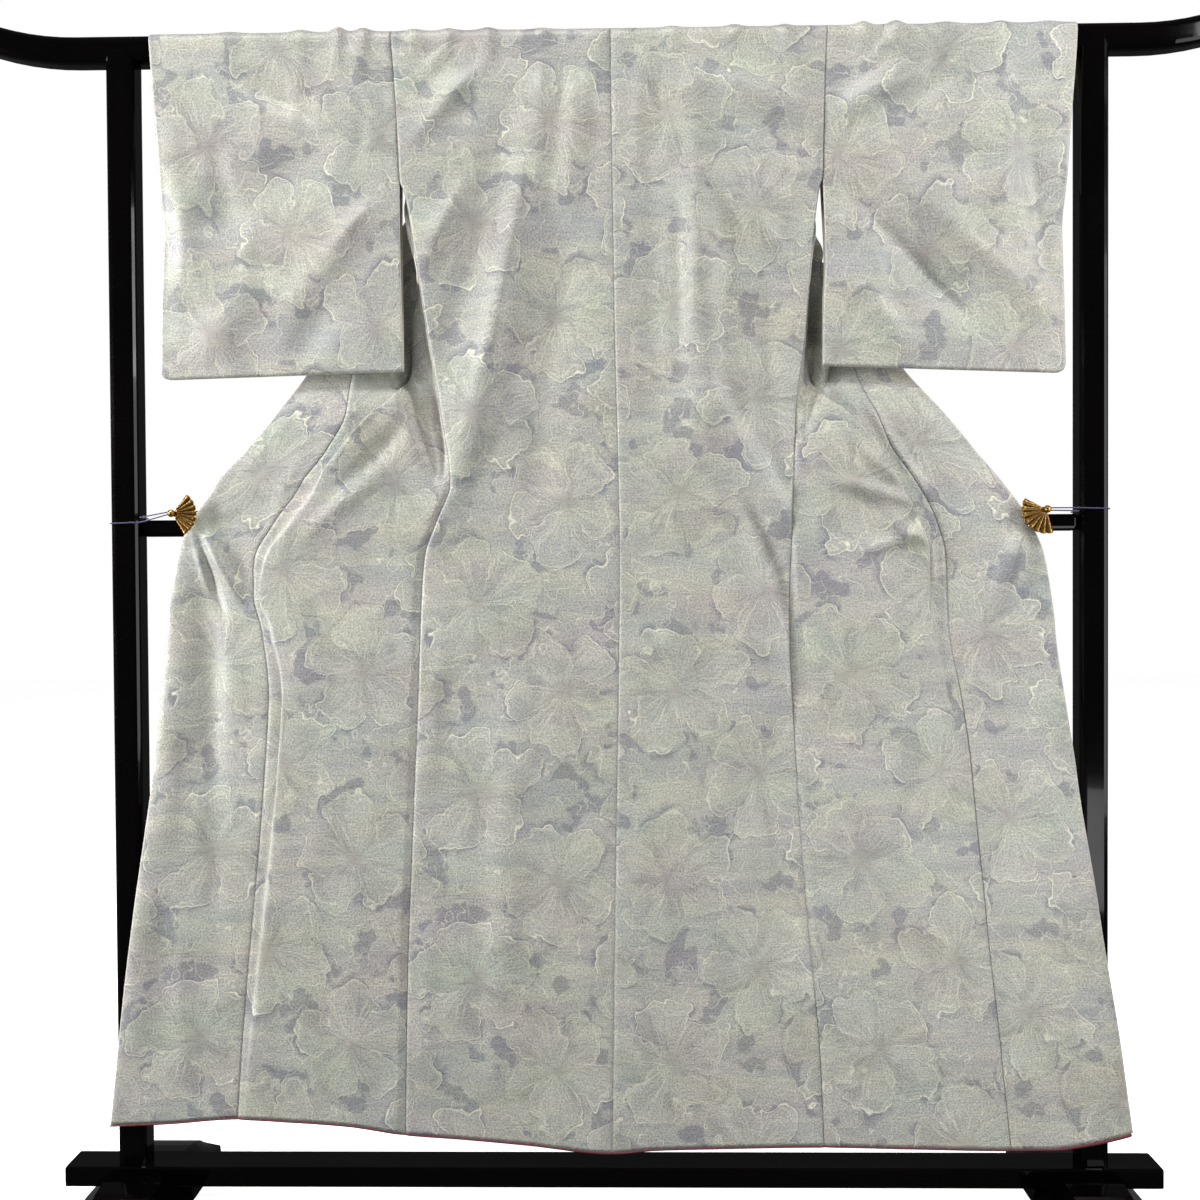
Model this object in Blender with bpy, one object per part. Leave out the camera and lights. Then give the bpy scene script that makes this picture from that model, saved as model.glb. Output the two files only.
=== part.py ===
"""Silk kimono hung open, back outward, on a black lacquered kimono stand.

Metres, +Z up, the viewer at -Y. The origin is on the floor under the middle of the stand.
Every cloth piece is a wall of even thickness through rows worked out from short tables of the
garment's own sizes; a row of a table is one height, and a smooth curve joins the rows.
"""
import math

import bmesh
import bpy
import numpy as np

# ---------------------------------------------------------------- driving dimensions (metres)
SEAM = 0.0004            # gap between pieces that touch
CLOTH = 0.0016           # wall of lined silk
LEFT, RIGHT = -1, 1

BAR_SIZE = 0.038         # top bar, square with rounded corners
BAR_ROUND = 0.012
BAR_HEIGHT = 1.608       # centre of the top bar
BAR_STRAIGHT = 0.735     # half of its straight length
BAR_END_RADIUS = 0.39
BAR_END_SWEEP = math.radians(30)
POST_SIZE = 0.039
POST_X = 0.6725
RAIL_SIZE = 0.023
RAIL_HEIGHT = 0.9425
BEAM_LENGTH, BEAM_DEPTH, BEAM_THICK = 1.53, 0.050, 0.028
BEAM_BOTTOM = 0.020
FOOT_LENGTH, FOOT_WIDTH, FOOT_TOP, FOOT_HEIGHT = 0.28, 0.155, 0.080, 0.037
FOOT_X = 0.662

DRAPE_FLAT = 0.007       # half of the flat top of the cloth where it lies over the bar
DRAPE_ROUND = 0.0142     # its corner radius, outside
DRAPE_TOP = 1.6292       # height of its crest
SHOULDER = DRAPE_TOP - DRAPE_ROUND
DRAPE_HALF = DRAPE_FLAT + DRAPE_ROUND * math.pi / 2
NECK = 0.090             # neck opening, each side of the middle
SLEEVE_JOIN = 1.418      # lowest point where sleeve and body are sewn together
SIDE_SEAM_TOP = 1.300    # highest point of the side seam
FOLD_ROUND = 0.005       # rounding of the pleat's two turns where the tuck is deep
COLLAR_WIDTH = 0.055
COLLAR_WALL = 0.0024
COLLAR_END = 0.966       # height of the clips
HEM_ROLL = 0.0030

# ---------------------------------------------------------------- tables
CENTRE_SEAM = {"columns": ("height", "x"),
               "rows": ((1.63, .009), (1.40, .011), (1.20, .013), (1.00, .017), (0.90, .018),
                        (0.70, .015), (0.40, .009), (0.05, .003))}
SLEEVE_SEAM = {
    LEFT: {"columns": ("height", "x"),
           "rows": ((1.63, -.2944), (1.60, -.2925), (1.55, -.2894), (1.50, -.2864), (1.418, -.2830))},
    RIGHT: {"columns": ("height", "x"),
            "rows": ((1.63, .3074), (1.60, .3056), (1.55, .3036), (1.50, .3022), (1.418, .3002))}}
BACK_SIDE = {
    LEFT: {"columns": ("height", "x"),
           "rows": ((1.418, -.2830), (1.40, -.276), (1.30, -.260), (1.20, -.2444), (1.10, -.2286), (1.00, -.215), (0.95, -.234),
                    (0.90, -.252), (0.85, -.2566), (0.70, -.263), (0.50, -.2725), (0.30, -.281),
                    (0.05, -.286))},
    RIGHT: {"columns": ("height", "x"),
            "rows": ((1.418, .3002), (1.40, .295), (1.30, .2834), (1.20, .275), (1.10, .2625), (1.00, .258), (0.90, .2544),
                     (0.80, .2535), (0.60, .261), (0.40, .2755), (0.20, .292), (0.05, .298))}}
# the front: how far its side stands out beyond the back's, the pleat's top layer, the tuck hidden under it,
# the whole width of the front cloth, and the overlap panel that is sewn to it
FRONT = {
    LEFT: {"columns": ("height", "spread", "pleat", "tuck", "front", "overlap"),
           "rows": ((1.615, .000, -.012, .206, .200, .000), (1.576, .000, -.012, .196, .1852, .000),
                    (1.536, .000, -.012, .186, .179, .000), (1.497, .000, -.012, .175, .193, .000),
                    (1.457, .000, -.012, .164, .222, .000),
                    (1.418, .000, -.012, .1525, .252, .000),
                    (1.378, .0085, -.012, .137, .252, .000), (1.338, .007, -.010, .116, .247, .000),
                    (1.300, .0025, -.003, .105, .243, .015), (1.240, .000, .028, .0835, .242, .034),
                    (1.155, .000, .045, .062, .241, .065), (1.120, .000, .070, .057, .241, .086),
                    (1.100, .000, .098, .054, .241, .099), (1.050, .000, .152, .036, .241, .113),
                    (1.000, .000, .1935, .0155, .241, .120), (0.950, .000, .207, .0076, .241, .119),
                    (0.900, .000, .222, .002, .241, .107), (0.850, .000, .226, .001, .236, .115),
                    (0.800, .000, .212, .010, .240, .131), (0.700, .000, .196, .0165, .240, .152),
                    (0.600, .000, .199, .0155, .240, .156), (0.400, .000, .209, .011, .240, .166),
                    (0.200, .000, .223, .0045, .240, .174), (0.050, .000, .232, .0005, .240, .180))},
    RIGHT: {"columns": ("height", "spread", "pleat", "tuck", "front", "overlap"),
            "rows": ((1.615, .000, -.012, .220, .214, .000), (1.576, .000, -.012, .208, .1972, .000),
                     (1.536, .000, -.012, .199, .192, .000), (1.497, .000, -.012, .190, .208, .000),
                     (1.457, .000, -.012, .179, .236, .000),
                     (1.418, .000, -.012, .1645, .2522, .000),
                     (1.378, .000, -.012, .1455, .250, .000), (1.338, .003, -.011, .127, .248, .000),
                     (1.300, .002, -.002, .1165, .246, .014), (1.240, .000, .005, .1015, .245, .034),
                     (1.155, .000, .021, .084, .245, .069), (1.120, .000, .0387, .0745, .245, .085),
                     (1.100, .000, .0684, .068, .245, .092), (1.050, .000, .118, .0565, .245, .112),
                     (1.000, .000, .147, .0387, .245, .1185), (0.950, .000, .1765, .024, .245, .125),
                     (0.900, .000, .1967, .0168, .245, .1346), (0.850, .000, .198, .0154, .245, .141),
                     (0.800, .000, .201, .0146, .245, .1456), (0.700, .000, .217, .007, .245, .1415),
                     (0.600, .000, .232, .0026, .245, .1426), (0.400, .000, .238, .0005, .246, .153),
                     (0.200, .000, .242, .0005, .251, .165), (0.050, .000, .250, .0005, .260, .171))}}
# how far forward (-y) or back each part of the front lies: behind the back panel's edge, and the
# tuck at the pleat's turn and at its inner turn, the overlap seam and the outer edge; STAND is the
# room between the tuck and the cloth that runs outward behind it
STAND = {"columns": ("height", "gap"),
         "rows": ((1.615, .012), (1.576, .016), (1.536, .018), (1.497, .012), (1.457, .008),
                  (1.418, .006), (1.30, .004), (0.0, .004))}
FRONT_DEPTH = {"columns": ("height", "behind", "turn", "inner_turn", "seam", "edge"),
               "rows": ((1.615, .0424, .0212, .0212, .0255, .0255), (1.558, .040, .0210, .0210, .025, .025),
                        (1.508, .035, .018, .020, .024, .024), (1.438, .0292, .015, .018, .022, .021),
                        (1.378, .025, .008, .015, .018, .016), (1.338, .014, -.002, .013, .014, .012),
                        (1.300, .000, -.014, .009, .009, .007), (1.240, .000, .005, .007, .006, .004),
                        (1.155, .000, .002, .002, .002, .000), (1.120, .000, -.014, -.009, -.005, -.006),
                        (1.100, .000, -.020, -.014, -.009, -.009), (1.050, .000, -.025, -.020, -.014, -.014),
                        (1.000, .000, -.0255, -.0225, -.018, -.019),
                        (0.950, .000, -.0255, -.024, -.0205, -.022),
                        (0.900, .000, -.0245, -.0235, -.0215, -.0235),
                        (0.800, .000, -.0245, -.0240, -.0225, -.025),
                        (0.600, .000, -.0247, -.0242, -.0232, -.026),
                        (0.400, .000, -.0248, -.0245, -.0238, -.027),
                        (0.050, .000, -.0252, -.0252, -.0245, -.028))}
SLEEVE = {
    LEFT: {"columns": ("height", "inner", "outer"),
           "rows": ((1.63, -.2944, -.630), (1.60, -.2925, -.628), (1.50, -.2864, -.6214),
                    (1.418, -.2830, -.6165), (1.35, -.2831, -.6147), (1.25, -.2816, -.6188),
                    (1.14, -.2806, -.6205))},
    RIGHT: {"columns": ("height", "inner", "outer"),
            "rows": ((1.63, .3074, .6475), (1.60, .3056, .6465), (1.50, .3022, .6393),
                     (1.418, .3002, .634), (1.40, .3007, .6329), (1.35, .3027, .6300),
                     (1.30, .3038, .6308), (1.25, .3013, .6322), (1.14, .2997, .6340))}}
SLEEVE_BOTTOM = {LEFT: (1.158, 1.149), RIGHT: (1.161, 1.148)}      # at the inner and the outer edge
SLEEVE_CORNER = 0.013
CUFF_BOTTOM = 1.385      # the cuff is open above this height and sewn shut below it
SLEEVE_DEPTH = {"columns": ("height", "near", "far"),
                "rows": ((1.615, -.0212, .0212), (1.558, -.0215, .0189), (1.508, -.021, .0138),
                         (1.438, -.020, .0076), (1.418, -.0198, .0059), (1.30, -.018, -.001),
                         (1.20, -.0165, -.0055), (1.14, -.0155, -.0085))}
HEM = {"columns": ("x", "height"),
       "rows": ((-.702, .109), (-.618, .112), (-.524, .118), (-.444, .114), (-.366, .108),
                (-.285, .096), (-.204, .090), (-.115, .082), (.003, .070), (.063, .075),
                (.129, .077), (.296, .080), (.413, .078), (.554, .076), (.611, .077),
                (.659, .085), (.703, .095), (.725, .101))}
COLLAR_LINE = {
    LEFT: {"columns": ("height", "x"),
           "rows": ((1.60, -.093), (1.558, -.127), (1.508, -.165), (1.438, -.216), (1.378, -.262),
                    (1.338, -.290), (1.30, -.315))},
    RIGHT: {"columns": ("height", "x"),
            "rows": ((1.60, .093), (1.558, .122), (1.508, .152), (1.438, .202), (1.378, .250),
                     (1.338, .282), (1.30, .310))}}
# largest folds: a straight or bowed crease from (x0, z0) to (x1, z1); rise towards the viewer
FOLD_COLUMNS = ("x0", "z0", "x1", "z1", "bow", "half_width", "rise")
BACK_FOLDS = ((-.075, 1.600, -.252, .890, -.016, .026, .0065),
              (-.155, 1.600, -.280, 1.450, .004, .022, .0040),
              (-.205, 1.420, -.262, 1.270, .000, .018, .0030),
              (-.040, 1.590, -.050, 1.330, .000, .020, .0030),
              (.100, 1.600, .310, 1.490, .010, .022, .0040),
              (.119, 1.520, .130, 1.080, -.008, .022, .0050),
              (.125, 1.140, .275, .880, .000, .024, .0055),
              (.140, 1.450, .262, 1.280, .000, .020, .0030),
              (.165, .800, .245, .300, -.010, .035, -.0050),
              (-.120, .780, -.150, .200, .006, .040, .0040))
OUTER_FOLDS = ((-.562, .945, -.500, .840, .004, .012, .0055),
               (-.570, .930, -.560, .560, -.010, .020, -.0050),
               (.566, .935, .520, .800, -.006, .012, .0055),
               (.580, .925, .600, .560, .008, .020, -.0050),
               (-.640, .620, -.668, .160, .000, .026, .0050),
               (.640, .640, .690, .150, .000, .026, .0050))
SLEEVE_FOLDS = ((-.528, 1.610, -.385, 1.500, -.012, .020, -.0040),
                (-.305, 1.400, -.440, 1.240, .006, .022, .0040),
                (-.370, 1.250, -.412, 1.180, .000, .016, -.0030),
                (-.480, 1.225, -.545, 1.160, .000, .016, .0030),
                (.305, 1.440, .545, 1.190, .004, .020, -.0045),
                (.650, 1.600, .575, 1.550, .000, .016, -.0030),
                (.500, 1.590, .375, 1.500, -.006, .018, -.0035))

BODY_COLUMNS = 12
OVERLAP_PARTS = (0, .035, .17, .36, .57, .79, 1)      # its columns, closest at the seam
SLEEVE_COLUMNS = 9
SEWN_ROWS = np.linspace(SHOULDER, SLEEVE_JOIN, 6)      # rows shared by body and sleeve
LEAST_COLUMN = 0.0006    # narrowest column where a pleat closes


# ---------------------------------------------------------------- curves and tables
def smooth_curve(knots, values, at):
    """Monotone cubic through (knots, values): the slope at a knot is the harmonic mean of its
    neighbours' slopes, or zero at a peak, so the curve never overshoots the table."""
    order = np.argsort(knots)
    x = np.array(knots, float)[order]
    y = np.array(values, float)[order]
    step = np.diff(x)
    slope = np.diff(y) / step
    tangent = np.zeros_like(y)
    tangent[0], tangent[-1] = slope[0], slope[-1]
    same = slope[:-1] * slope[1:] > 0
    safe = np.where(same, slope[:-1] + slope[1:], 1.0)
    tangent[1:-1] = np.where(same, 2 * slope[:-1] * slope[1:] / safe, 0.0)
    at = np.clip(at, x[0], x[-1])
    cell = np.clip(np.searchsorted(x, at) - 1, 0, len(step) - 1)
    t = (at - x[cell]) / step[cell]
    return (y[cell] * (1 + 2 * t) * (1 - t) ** 2 + step[cell] * tangent[cell] * t * (1 - t) ** 2
            + y[cell + 1] * t * t * (3 - 2 * t) + step[cell] * tangent[cell + 1] * t * t * (t - 1))


def column(table, name, at):
    """Reads one named column of a table at the given heights (or whatever its first column is)."""
    rows = np.array(table["rows"])
    return smooth_curve(rows[:, 0], rows[:, table["columns"].index(name)], at)


def sewn_edge(side, table, name, z):
    """x of an edge that is sewn to the sleeve above the sleeve joint and free of it below."""
    return np.where(z >= SLEEVE_JOIN, column(SLEEVE_SEAM[side], "x", z), column(table, name, z))


def front_side(side, z):
    """x of the front's side edge: the back's, and a little beyond it where both hang free."""
    return sewn_edge(side, BACK_SIDE[side], "x", z) + side * column(FRONT[side], "spread", z)


def ease(low, high, at):
    """Smooth step from 0 at low to 1 at high."""
    t = np.clip((at - low) / (high - low), 0, 1)
    return t * t * (3 - 2 * t)


def relief(folds, x, z):
    """Sum of the folds: across a fold its height falls off as a bell, and along it as a half sine."""
    total = np.zeros_like(x)
    for row in folds:
        fold = dict(zip(FOLD_COLUMNS, row))
        along = np.array((fold["x1"] - fold["x0"], fold["z1"] - fold["z0"]))
        length = np.hypot(*along)
        along = along / length
        run = ((x - fold["x0"]) * along[0] + (z - fold["z0"]) * along[1]) / length
        away = (x - fold["x0"]) * along[1] - (z - fold["z0"]) * along[0]
        inside = np.clip(run, 0, 1)
        away = away - 4 * fold["bow"] * inside * (1 - inside)
        total += fold["rise"] * np.exp(-(away / fold["half_width"]) ** 2) * np.sin(math.pi * inside)
    return total


def over_bar(length):
    """Cloth laid over the bar, by the length from its crest (negative on the viewer's side):
    flat top, quarter rounds, then straight down. Returns y and z."""
    run = np.abs(length)
    turn = np.clip((run - DRAPE_FLAT) / DRAPE_ROUND, 0, math.pi / 2)
    y = np.minimum(run, DRAPE_FLAT) + DRAPE_ROUND * np.sin(turn)
    drop = np.maximum(run - DRAPE_HALF, 0)
    return np.sign(length) * y, DRAPE_TOP - DRAPE_ROUND * (1 - np.cos(turn)) - drop


# ---------------------------------------------------------------- the garment's surfaces
def back_depth(z):
    """The back hangs straight from the bar and comes slightly forward towards the hem."""
    return -0.0212 - 0.0021 * (SHOULDER - z)


def back_surface(side, part, z):
    """The back panel: part is 0 at the centre seam and 1 at the side."""
    centre = column(CENTRE_SEAM, "x", z) + side * SEAM / 2
    edge = sewn_edge(side, BACK_SIDE[side], "x", z) - side * SEAM / 2
    x = centre + part * (edge - centre)
    hang = ease(SHOULDER - 0.03, SHOULDER - 0.08, z)
    return x, back_depth(z) - relief(BACK_FOLDS, x, z) * hang


def turn_rounding(tuck):
    """The pleat's turns open wide and soft where the tuck is shallow."""
    return FOLD_ROUND + 0.008 * np.exp(-((tuck - 0.012) / 0.008) ** 2)


def front_surface(side, s, z):
    """The front at cloth width s from the side seam. It runs outward as the pleat's top layer,
    turns back inward as the tuck, turns again and runs outward to the overlap seam and the edge."""
    table = FRONT[side]
    start = front_side(side, z)
    pleat = column(table, "pleat", z)
    tuck = column(table, "tuck", z)
    front = column(table, "front", z)
    overlap = column(table, "overlap", z)
    first, second = s - pleat, s - pleat - tuck
    soft = turn_rounding(tuck)

    def bend(t):
        return t + np.sqrt(t * t + soft ** 2)

    outward = s - bend(first) + bend(second) + bend(-pleat) - bend(-pleat - tuck)
    # inside the sleeve's seam above its joint, outside the back's edge where the side is sewn
    wide = SEAM / 2 + 0.0020 * ease(1.03, 1.14, z)
    gap = wide - (wide + SEAM / 2) * ease(SIDE_SEAM_TOP + 0.04, SLEEVE_JOIN - 0.01, z)
    x = start + side * (outward + gap)

    open_fold = 1 - np.exp(-tuck / 0.012)
    side_y = back_depth(z) + column(FRONT_DEPTH, "behind", z)
    turn = column(FRONT_DEPTH, "turn", z)
    inner = column(FRONT_DEPTH, "inner_turn", z)
    seam = column(FRONT_DEPTH, "seam", z)
    edge = column(FRONT_DEPTH, "edge", z)
    ridge = turn - 0.008 * open_fold
    outer = inner + column(STAND, "gap", z) * open_fold
    top_layer = side_y + (ridge - side_y) * np.clip(s / np.maximum(pleat, 0.004), 0, 1) ** 1.3
    tucked = turn + (inner - turn) * np.clip(first / np.maximum(tuck, 0.004), 0, 1)
    to_seam = ease(0, 1, second / np.maximum(front - pleat - tuck, 0.045))
    to_edge = ease(0, 1, (s - front) / np.maximum(overlap, 0.004))
    out_layer = outer + (seam - outer) * to_seam + (edge - seam) * to_edge
    past_ridge = 0.5 + 0.5 * first / np.sqrt(first ** 2 + soft ** 2)
    past_inner = 0.5 + 0.5 * second / np.sqrt(second ** 2 + soft ** 2)
    y = (top_layer * (1 - past_ridge) + tucked * past_ridge * (1 - past_inner)
         + out_layer * past_ridge * past_inner)
    at_start = 0.5 - 0.5 * pleat / np.sqrt(pleat ** 2 + FOLD_ROUND ** 2)
    # (at_start is 1 where the pleat hasn't begun: there the tuck itself starts at the side)
    y = y + (side_y - turn) * at_start * np.exp(-(s / 0.015) ** 2)
    facing = ease(SIDE_SEAM_TOP, SIDE_SEAM_TOP - 0.08, z)
    y = y - relief(BACK_FOLDS, x, z) * (1 - past_ridge) * facing
    y = y - relief(OUTER_FOLDS, x, z) * past_inner * facing
    return x, y


def collar_depth(side, x, z):
    """Where the collar lies: just behind the outward run of the front, at the same height."""
    table = FRONT[side]
    start = front_side(side, z)
    tuck = column(table, "tuck", z)
    front = column(table, "front", z)
    overlap = column(table, "overlap", z)
    away = side * (x - start)
    s = away + 2 * tuck
    inner = (column(FRONT_DEPTH, "inner_turn", z)
             + column(STAND, "gap", z) * (1 - np.exp(-tuck / 0.012)))
    seam = column(FRONT_DEPTH, "seam", z)
    edge = column(FRONT_DEPTH, "edge", z)
    pleat = column(table, "pleat", z)
    to_seam = ease(0, 1, (s - pleat - tuck) / np.maximum(front - pleat - tuck, 0.045))
    to_edge = ease(0, 1, (s - front) / np.maximum(overlap, 0.004))
    facing = ease(SIDE_SEAM_TOP, SIDE_SEAM_TOP - 0.08, z)
    return (inner + (seam - inner) * to_seam + (edge - seam) * to_edge
            - relief(OUTER_FOLDS, x, z) * facing)


# ---------------------------------------------------------------- mesh tools
def clear_scene():
    for item in list(bpy.data.objects):
        bpy.data.objects.remove(item, do_unlink=True)


def lacquer_or_cloth(name, colour, roughness, metallic=0.0):
    """One Principled material with the piece's colour."""
    material = bpy.data.materials.new(name)
    material.use_nodes = True
    shader = material.node_tree.nodes["Principled BSDF"]
    shader.inputs["Base Color"].default_value = (*colour, 1.0)
    shader.inputs["Roughness"].default_value = roughness
    shader.inputs["Metallic"].default_value = metallic
    return material


def add_mesh(name, points, faces, material, smooth_angle=40):
    """Makes one object from points and faces."""
    mesh = bpy.data.meshes.new(name)
    mesh.from_pydata([tuple(p) for p in points], [], [tuple(f) for f in faces])
    mesh.validate()
    mesh.shade_smooth()
    mesh.set_sharp_from_angle(angle=math.radians(smooth_angle))
    mesh.materials.append(material)
    item = bpy.data.objects.new(name, mesh)
    bpy.context.collection.objects.link(item)
    return item


def grid_faces(rows, columns, flip=False, first=0, closed_rows=False):
    """Quads of a grid stored row by row; closed_rows joins the last row to the first."""
    faces = []
    row_count = rows if closed_rows else rows - 1
    for r in range(row_count):
        for c in range(columns - 1):
            a = first + r * columns + c
            b = first + ((r + 1) % rows) * columns + c
            quad = (a, b, b + 1, a + 1)
            faces.append(quad[::-1] if flip else quad)
    return faces


def solidify(item, thickness):
    """Gives the outer face its wall, inward."""
    wall = item.modifiers.new("wall", "SOLIDIFY")
    wall.thickness = thickness
    wall.offset = -1
    wall.use_even_offset = False
    wall.use_rim = True
    return item


def cloth_panel(name, x, y, z, material, flip, thickness=CLOTH):
    """A cloth wall from a grid of outer points given as arrays of rows by columns."""
    points = np.stack((x, y, z), axis=-1).reshape(-1, 3)
    return solidify(add_mesh(name, points, grid_faces(*x.shape, flip=flip), material), thickness)


# ---------------------------------------------------------------- body, overlap, hem
def front_heights():
    """Heights of the front's rows: close together where the pleat opens."""
    return np.concatenate((SEWN_ROWS[1:], np.linspace(SLEEVE_JOIN, SIDE_SEAM_TOP, 4)[1:],
                           np.linspace(SIDE_SEAM_TOP, 0.87, 18)[1:], np.linspace(0.87, 0.0, 8)[1:]))


def back_heights():
    """The back has every second of the front's rows where its edge is nearly straight."""
    height = front_heights()
    return height[(height > 1.30) | (height < 1.03) | (np.arange(len(height)) % 2 == 1)]


def drop_to_hem(height, hem, start=0.87):
    """Rows below start are spread evenly between it and the hem."""
    return np.where(height >= start, height, start - (start - hem) * (start - height) / start)


def front_columns(side, z, parts=12):
    """Cloth widths of the body's columns at each height, from the side seam to the overlap seam,
    set close together at the pleat's two turns. Where the pleat closes they keep a least width."""
    table = FRONT[side]
    pleat = column(table, "pleat", z)
    tuck = column(table, "tuck", z)
    front = column(table, "front", z)
    soft = 0.9 * turn_rounding(tuck)
    tuck = tuck + np.minimum(pleat, 0)
    pleat = np.maximum(pleat, 0)
    turn = np.minimum(0.005, tuck / 3)
    rest = np.maximum(front - pleat - tuck - soft, 0)
    widths = [0.38 * pleat, 0.37 * pleat, 0.25 * pleat - soft, np.minimum(soft, pleat), turn,
              tuck / 2 - turn, tuck / 2 - turn, turn, soft, rest / 3, rest / 3, rest / 3]
    widths = np.maximum(np.stack(widths, axis=-1), LEAST_COLUMN)
    widths = widths * (front / widths.sum(axis=-1))[..., None]
    return np.concatenate((np.zeros((*z.shape, 1)), np.cumsum(widths, axis=-1)), axis=-1)


def hem_height(x):
    return column(HEM, "height", x)


def back_rows(side):
    """Back panel from the hem up to the shoulder, columns from the centre seam to the side."""
    part = np.linspace(0, 1, BODY_COLUMNS + 1)[None, :]
    foot_x, _ = back_surface(side, part, np.full_like(part, 0.09))
    z = drop_to_hem(back_heights()[::-1, None] + 0 * part, hem_height(foot_x))
    x, y = back_surface(side, np.broadcast_to(part, z.shape), z)
    return x, y, z


def shoulder_rows(side):
    """The cloth over the bar; its inner edge is the neckline, cut back from the centre seam."""
    length = np.linspace(-DRAPE_HALF, DRAPE_HALF, 8)[:, None]
    y, z = over_bar(length)
    even = np.linspace(0, 1, BODY_COLUMNS + 1)[None, :]
    folded = 1 - front_columns(side, SEWN_ROWS[1])[::-1] / column(FRONT[side], "front", SEWN_ROWS[1])
    part = even + (folded - even) * ease(-DRAPE_HALF, DRAPE_HALF, length)
    neck = neckline(side, length)
    edge = column(SLEEVE_SEAM[side], "x", np.full_like(length, 1.62)) - side * SEAM / 2
    x = neck + part * (edge - neck)
    return x, np.broadcast_to(y, x.shape), np.broadcast_to(z, x.shape)


def neckline(side, length):
    """x of the neckline by the length over the bar: the centre seam in front, the neck behind."""
    cut = ease(-0.6 * DRAPE_HALF, DRAPE_HALF, length)
    centre = column(CENTRE_SEAM, "x", np.full_like(length, 1.62)) + side * SEAM / 2
    return centre * (1 - cut) + side * NECK * cut


def front_rows(side):
    """The front from the shoulder down to the hem, columns from the overlap seam to the side."""
    foot = np.full((1, BODY_COLUMNS + 1), 0.09)
    foot_x, _ = front_surface(side, front_columns(side, foot[:, 0]), foot)
    z = drop_to_hem(front_heights()[:, None] + 0 * foot, hem_height(foot_x))
    each = np.arange(BODY_COLUMNS + 1)
    s = front_columns(side, z)[:, each, each]
    s[:, -1] -= SEAM / 2
    x, y = front_surface(side, s, z)
    return x[:, ::-1], y[:, ::-1], z[:, ::-1]


def build_body(name, side, material):
    """Back and front of one half in one length of cloth over the shoulder."""
    parts = [back_rows(side), shoulder_rows(side), front_rows(side)]
    x, y, z = (np.concatenate([part[axis] for part in parts]) for axis in range(3))
    return cloth_panel(name, x, y, z, material, flip=side == RIGHT)


def overlap_points(side):
    """Overlap panel: columns from its seam to the outer edge, rows from its tip to the hem."""
    height = front_heights()
    height = np.concatenate(((1.318,), height[height < 1.301]))
    part = np.array(OVERLAP_PARTS)[None, :]

    def widths(z):
        seam = column(FRONT[side], "front", z)
        return seam + SEAM / 2 + part * (column(FRONT[side], "overlap", z) - SEAM / 2)

    foot = 0 * part + 0.09
    foot_x, _ = front_surface(side, widths(foot), foot)
    z = drop_to_hem(height[:, None] + 0 * part, hem_height(foot_x))
    x, y = front_surface(side, widths(z), z)
    return x, y, z


def build_overlap(name, side, material):
    x, y, z = overlap_points(side)
    return cloth_panel(name, x, y, z, material, flip=side == LEFT)


def build_hem_edge(name, material):
    """The rolled lining edge: one flat tube that follows the bottom of every panel, left to right."""
    halves = []
    for side in (LEFT, RIGHT):
        back = [axis[0] for axis in back_rows(side)]
        front = [axis[-1, ::-1] for axis in front_rows(side)]
        overlap = [axis[-1] for axis in overlap_points(side)]
        runs = [np.stack((run[0], run[1] + CLOTH / 2, run[2]), axis=-1)
                for run in (back, front, overlap)]
        spaced = np.concatenate((runs[0], runs[1][1:], runs[2][1:]))
        keep = np.concatenate(((True,), np.linalg.norm(np.diff(spaced, axis=0), axis=1) > 0.004))
        halves.append(spaced[keep])
    line = np.concatenate((halves[0][::-1], halves[1][1:]))
    along = np.gradient(line, axis=0)
    across = np.stack((along[:, 1], -along[:, 0], np.zeros(len(line))), axis=-1)
    across /= np.linalg.norm(across, axis=1)[:, None]
    deep = HEM_ROLL + 0.002 * ease(0.60, 0.68, line[:, 0])
    profile = ((-.5, 0), (.5, 0), (.75, -.35), (.45, -.9), (-.45, -.9), (-.75, -.35))
    rings = [line + across * (u * 0.0022) + np.stack(
        (np.zeros(len(line)), np.zeros(len(line)), v * deep - SEAM), axis=-1) for u, v in profile]
    points = np.stack(rings, axis=1).reshape(-1, 3)
    sides = len(profile)
    faces = []
    for ring in range(len(line) - 1):
        for k in range(sides):
            a, b = ring * sides + k, ring * sides + (k + 1) % sides
            faces.append((a, b, b + sides, a + sides))
    faces.append(tuple(range(sides))[::-1])
    last = (len(line) - 1) * sides
    faces.append(tuple(last + k for k in range(sides)))
    return outward(add_mesh(name, points, faces, material))


def outward(item):
    """Turns all faces of a closed mesh outward."""
    work = bmesh.new()
    work.from_mesh(item.data)
    bmesh.ops.recalc_face_normals(work, faces=work.faces)
    work.to_mesh(item.data)
    work.free()
    return item


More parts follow.
